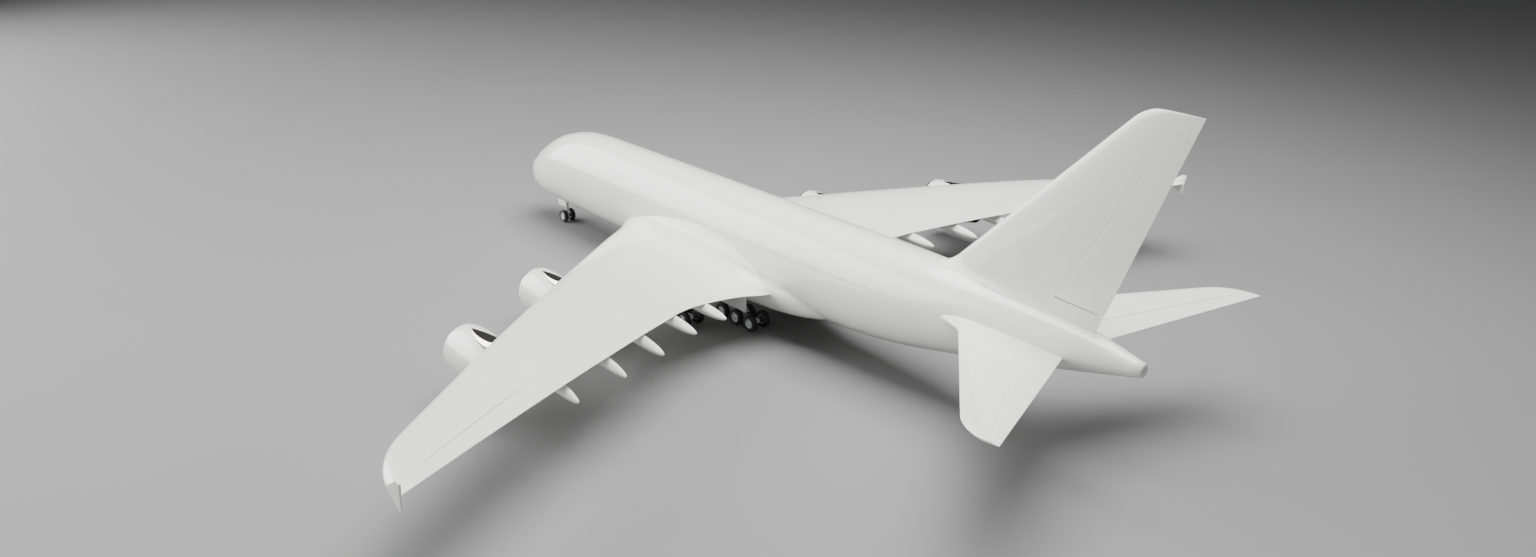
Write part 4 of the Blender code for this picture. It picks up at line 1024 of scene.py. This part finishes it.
def pylon_ring(centre, row):
    behind, width, foot, shoulder, peak = row
    points = [(width, foot), (width, mix(foot, shoulder, 0.5))]
    for k in range(13):
        angle = pi * k / 12.0
        height = mix(shoulder, peak, sin(angle) ** 0.9)
        points.append((width * signed_power(cos(angle), 0.8), height))
    points += [(-width, mix(foot, shoulder, 0.5)), (-width, foot)]
    return [centre + Vector((x, behind, z)) for x, z in points]


def make_pylon(name, centre, span):
    top = wing_section(span).nose.z + 0.05 - centre.z
    rows = list(PYLON_NOSE) + [(*row, top) for row in PYLON_TAIL]
    places = spaced(1.25, 5.72, 30) + spaced(5.75, 6.61, 8) + spaced(6.64, 8.75, 16)
    rings = []
    for at in places:
        rings.append(pylon_ring(centre, (at, *[smooth_value(rows, column, at) for column in (1, 2, 3, 4)])))
    both_sides(f"pylon_skin_{name}", lofted(rings), "polished_metal", stands_for=(f"pylon_{name}_port",))


def make_engines():
    for name, span, lip, height in ENGINES:
        centre = Vector((span, lip, height))
        make_cowl(name, centre)
        make_core(name, centre)
        make_fan(name, centre)
        make_pylon(name, centre, span)


# Landing gear

def tyre_profile(radius, width):
    """Half a tyre's cross-section from the bead to the crown, with grooves in the tread."""
    rim = RIM_SHARE * radius
    half = width / 2.0
    points = [(0.30 * width, rim), (0.40 * width, rim + 0.01), (0.455 * width, rim + 0.05)]
    for k in range(9):
        angle = pi / 2.0 * k / 8.0
        points.append((half * (0.93 + 0.07 * cos(angle)) - 0.16 * width * (1.0 - cos(angle)),
                       mix(rim + 0.09, radius - 0.012, sin(angle) ** 0.9)))
    for groove in (0.25, 0.10):
        at = groove * width
        points += [(at + 0.016, radius), (at + 0.012, radius - 0.014), (at - 0.012, radius - 0.014),
                   (at - 0.016, radius)]
    return points


def make_wheel(centre, side, radius, width):
    """A tyre, its rim with a bolted disc, and the brake on its inner side."""
    half = tyre_profile(radius, width)
    tyre = spun(half + [(-x, r) for x, r in reversed(half)], 96, centre, PORT, closed=True)
    rim = RIM_SHARE * radius
    face = 0.40 * width * side
    rows = [(face, rim + 0.012), (face + 0.012 * side, rim), (face - 0.02 * side, rim - 0.03)]
    for inset, share in ((0.10, 0.86), (0.13, 0.60), (0.06, 0.42), (0.03, 0.30), (-0.01, 0.26), (-0.03, 0.20),
                         (-0.03, 0.0)):
        rows.append((face - inset * side, share * rim))
    disc = spun(rows, 72, centre, PORT)
    edge = 0.38 * width
    well = spun([(-edge, rim - 0.03), (edge, rim - 0.03), (edge, rim + 0.008), (-edge, rim + 0.008)],
                72, centre, PORT, closed=True)
    bolts = []
    for k in range(WHEEL_BOLTS):
        angle = 2.0 * pi * k / WHEEL_BOLTS
        seat = centre + Vector((face - 0.105 * side, 0.72 * rim * cos(angle), 0.72 * rim * sin(angle)))
        bolts.append(bar(seat - PORT * 0.02 * side, seat + PORT * 0.022 * side, 0.017, 6))
    brake = spun([(-side * at, share * rim) for at, share in (
        (0.05, 0.80), (0.30 * width + 0.02, 0.80), (0.30 * width + 0.05, 0.70), (0.42 * width, 0.45),
        (0.42 * width, 0.0))], 48, centre, PORT)
    return tyre, gathered(disc, well), gathered(*bolts), brake


def make_wheels(name, body, centre, sizes, hub):
    """Twin wheels on one axle, all turning with one body."""
    radius, width, spacing = sizes
    parts = {"tyres": [], "rims": [], "bolts": [], "brakes": []}
    for side in (1, -1):
        shapes = make_wheel(centre + PORT * spacing * side, side, radius, width)
        for row, shape in zip(parts.values(), shapes):
            row.append(shape)
    for side in (-1, 1):
        out = PORT * side
        parts["bolts"].append(bar(centre + out * (hub + 0.002), centre + out * (spacing + 0.1), 0.085, 32))
    finishes = ("tyre_rubber", "rim_paint", "piston_chrome", "brake_carbon")
    for (kind, shapes), finish in zip(parts.items(), finishes):
        make = both_sides if "_port" in body else piece
        make(f"{name}_{kind}", gathered(*shapes), finish, body, (body,) if kind == "tyres" else ())


def hose(points, radius, steps=36, sides=10):
    """A hose bent smoothly through a few points."""
    table = [(k, *point) for k, point in enumerate(points)]
    path = []
    for t in spaced(0.0, len(points) - 1.0, steps):
        path.append(Vector([smooth_value(table, column, t) for column in (1, 2, 3)]))
    rings = []
    for k, here in enumerate(path):
        along = (path[min(k + 1, steps - 1)] - path[max(k - 1, 0)]).normalized()
        across = along.cross(PORT if abs(along.x) < 0.8 else UP).normalized()
        third = along.cross(across)
        rings.append([here + (across * cos(a) + third * sin(a)) * radius
                      for a in [2.0 * pi * j / sides for j in range(sides)]])
    return lofted(rings)


def post(place, low, high, radius, sides=48):
    """An upright round bar over a place on the ground."""
    return bar((*place, low), (*place, high), radius, sides)


def crossbar(place, aft, height, half, radius, sides):
    """A level round bar from side to side, some way behind a place on the ground."""
    span, station = place
    return bar((span - half, station + aft, height), (span + half, station + aft, height), radius, sides)


def torque_links(place, top, middle, foot, reach, half):
    """Two hinged links behind a strut that keep its piston from turning."""
    span, station = place
    links = [crossbar(place, 0.16, foot, half, 0.05, 20), crossbar(place, 0.20, top, half, 0.05, 20),
             crossbar(place, reach, middle, 0.6 * half, 0.055, 20)]
    for side in (1, -1):
        elbow = Vector((span + 0.35 * half * side, station + reach, middle))
        links.append(bar((span + half * side, station + 0.16, foot), elbow, 0.045, 16))
        links.append(bar(elbow, (span + half * side, station + 0.20, top), 0.045, 16))
    return links


def make_bogie(kind, place, axles):
    span, station = place
    height = MAIN_WHEEL[0]
    reach = (axles - 1) * AXLE_PITCH / 2.0 + 0.20
    shapes = [block((span - BEAM_HALF, station - reach, height - BEAM_HALF),
                    (span + BEAM_HALF, station + reach, height + BEAM_HALF), 0.06)]
    places = [(k - (axles - 1) / 2.0) * AXLE_PITCH for k in range(axles)]
    shapes += [crossbar(place, aft, height, BEAM_HALF + 0.012, 0.15, 40) for aft in places]
    both_sides(f"{kind}_gear_beam", gathered(*shapes), "gear_paint", stands_for=(f"{kind}_gear_bogie_port",))
    for k, aft in enumerate(places):
        make_wheels(f"{kind}_gear_{k + 1}", f"{kind}_gear_wheels_{k + 1}_port",
                    Vector((span, station + aft, height)), MAIN_WHEEL, BEAM_HALF)


def make_leg(kind, place, top, radius, brace_foot, brace_top):
    span, station = place
    foot = MAIN_WHEEL[0] + BEAM_HALF
    piston_top = mix(foot, top, 0.30)
    shapes = [post(place, piston_top, top, radius),
              post(place, piston_top - 0.10, piston_top + 0.06, radius + 0.035),
              post(place, foot - 0.02, foot + 0.16, radius * 0.95, 40),
              bar((span, *brace_foot), (span, *brace_top), 0.085, 28)]
    shapes += torque_links(place, piston_top + 0.15, mix(foot, piston_top, 0.62), foot + 0.12, 0.62, 0.16)
    both_sides(f"{kind}_gear_strut", gathered(*shapes), "gear_paint", stands_for=(f"{kind}_gear_leg_port",))
    both_sides(f"{kind}_gear_piston", post(place, foot, piston_top + 0.1, radius * 0.68), "piston_chrome")
    lines = []
    for side in (1, -1):
        out = radius + 0.03
        route = ((out, 0.06, top - 0.05), (out, 0.08, mix(piston_top, top, 0.4)),
                 (out + 0.04, 0.16, piston_top - 0.05), (out + 0.02, 0.24, mix(foot, piston_top, 0.4)),
                 (0.12, 0.30, foot - 0.02))
        lines.append(hose([(span + x * side, station - ahead, z) for x, ahead, z in route], 0.022))
    both_sides(f"{kind}_gear_hoses", gathered(*lines), "hose_rubber")


def make_door(kind, low, high, edge):
    both_sides(f"{kind}_gear_door_skin", block(low, high, edge), "white_paint",
               stands_for=(f"{kind}_gear_door_port",))


def make_nose_gear():
    span, station = NOSE_GEAR
    axle = NOSE_WHEEL[0]
    strut = [post(NOSE_GEAR, 1.22, 3.2, 0.165), post(NOSE_GEAR, 1.21, 1.42, 0.20),
             post(NOSE_GEAR, 2.05, 2.20, 0.19), crossbar(NOSE_GEAR, -0.05, 2.12, 0.26, 0.06, 24),
             bar((span, station, 1.55), (span, station - 1.35, 3.3), 0.08, 24)]
    lamps = []
    for side in (1, -1):
        strut.append(post((span + 0.24 * side, station - 0.05), 2.12, 2.9, 0.035, 16))
        lamp = Vector((span + 0.26 * side, station - 0.20, LAMP_HEIGHT))
        strut.append(bar(lamp, lamp - AFT * 0.10, 0.085, 28, 0.10))
        strut.append(bar((span, station, LAMP_HEIGHT), lamp - AFT * 0.02, 0.025, 12))
        lamps.append(bar(lamp - AFT * 0.102, lamp - AFT * 0.110, 0.09, 28))
    piece("nose_gear_strut", gathered(*strut), "gear_paint", stands_for=("nose_gear_leg",))
    piece("taxi_lamps", gathered(*lamps), "lip_metal", slot="gear_steel")
    body = "nose_gear_steering"
    fork = [post(NOSE_GEAR, axle - 0.14, axle + 0.16, 0.15, 40),
            block((-0.17, station - 0.16, axle - 0.15), (0.17, station + 0.16, axle + 0.15), 0.05),
            block((-0.07, station - 0.34, axle - 0.08), (0.07, station - 0.10, axle + 0.08), 0.02),
            post(NOSE_GEAR, axle + 0.13, 0.90, 0.145, 40)]
    fork += torque_links(NOSE_GEAR, 1.14, 0.98, 0.86, 0.44, 0.10)
    piece("nose_gear_fork", gathered(*fork), "gear_paint", body, (body,))
    piece("nose_gear_piston", post(NOSE_GEAR, 0.80, 1.205, 0.115), "piston_chrome", body)
    make_wheels("nose_gear", "nose_wheels", Vector((span, station, axle)), NOSE_WHEEL, 0.17)
    make_door("nose", *NOSE_GEAR_DOOR, 0.015)


def make_landing_gear():
    make_bogie("wing", WING_GEAR, 2)
    make_leg("wing", WING_GEAR, 4.6, 0.23, (WING_GEAR[1], 1.9), (WING_GEAR[1] - 2.4, 4.6))
    make_door("wing", *WING_GEAR_DOOR, 0.018)
    make_bogie("body", BODY_GEAR, 3)
    make_leg("body", BODY_GEAR, 2.6, 0.25, (BODY_GEAR[1], 1.25), (BODY_GEAR[1] - 1.3, 2.6))
    make_door("body", *BODY_GEAR_DOOR, 0.018)
    make_nose_gear()


FINISHES = {name: finish_material(name, colour, roughness, metallic, **rest)
            for name, (_, colour, roughness, metallic, rest) in FINISH_LOOKS.items()}
make_camera()
make_studio()
make_fuselage()
make_fairing()
make_wings()
make_fences()
make_fin()
make_tailplanes()
make_engines()
make_landing_gear()
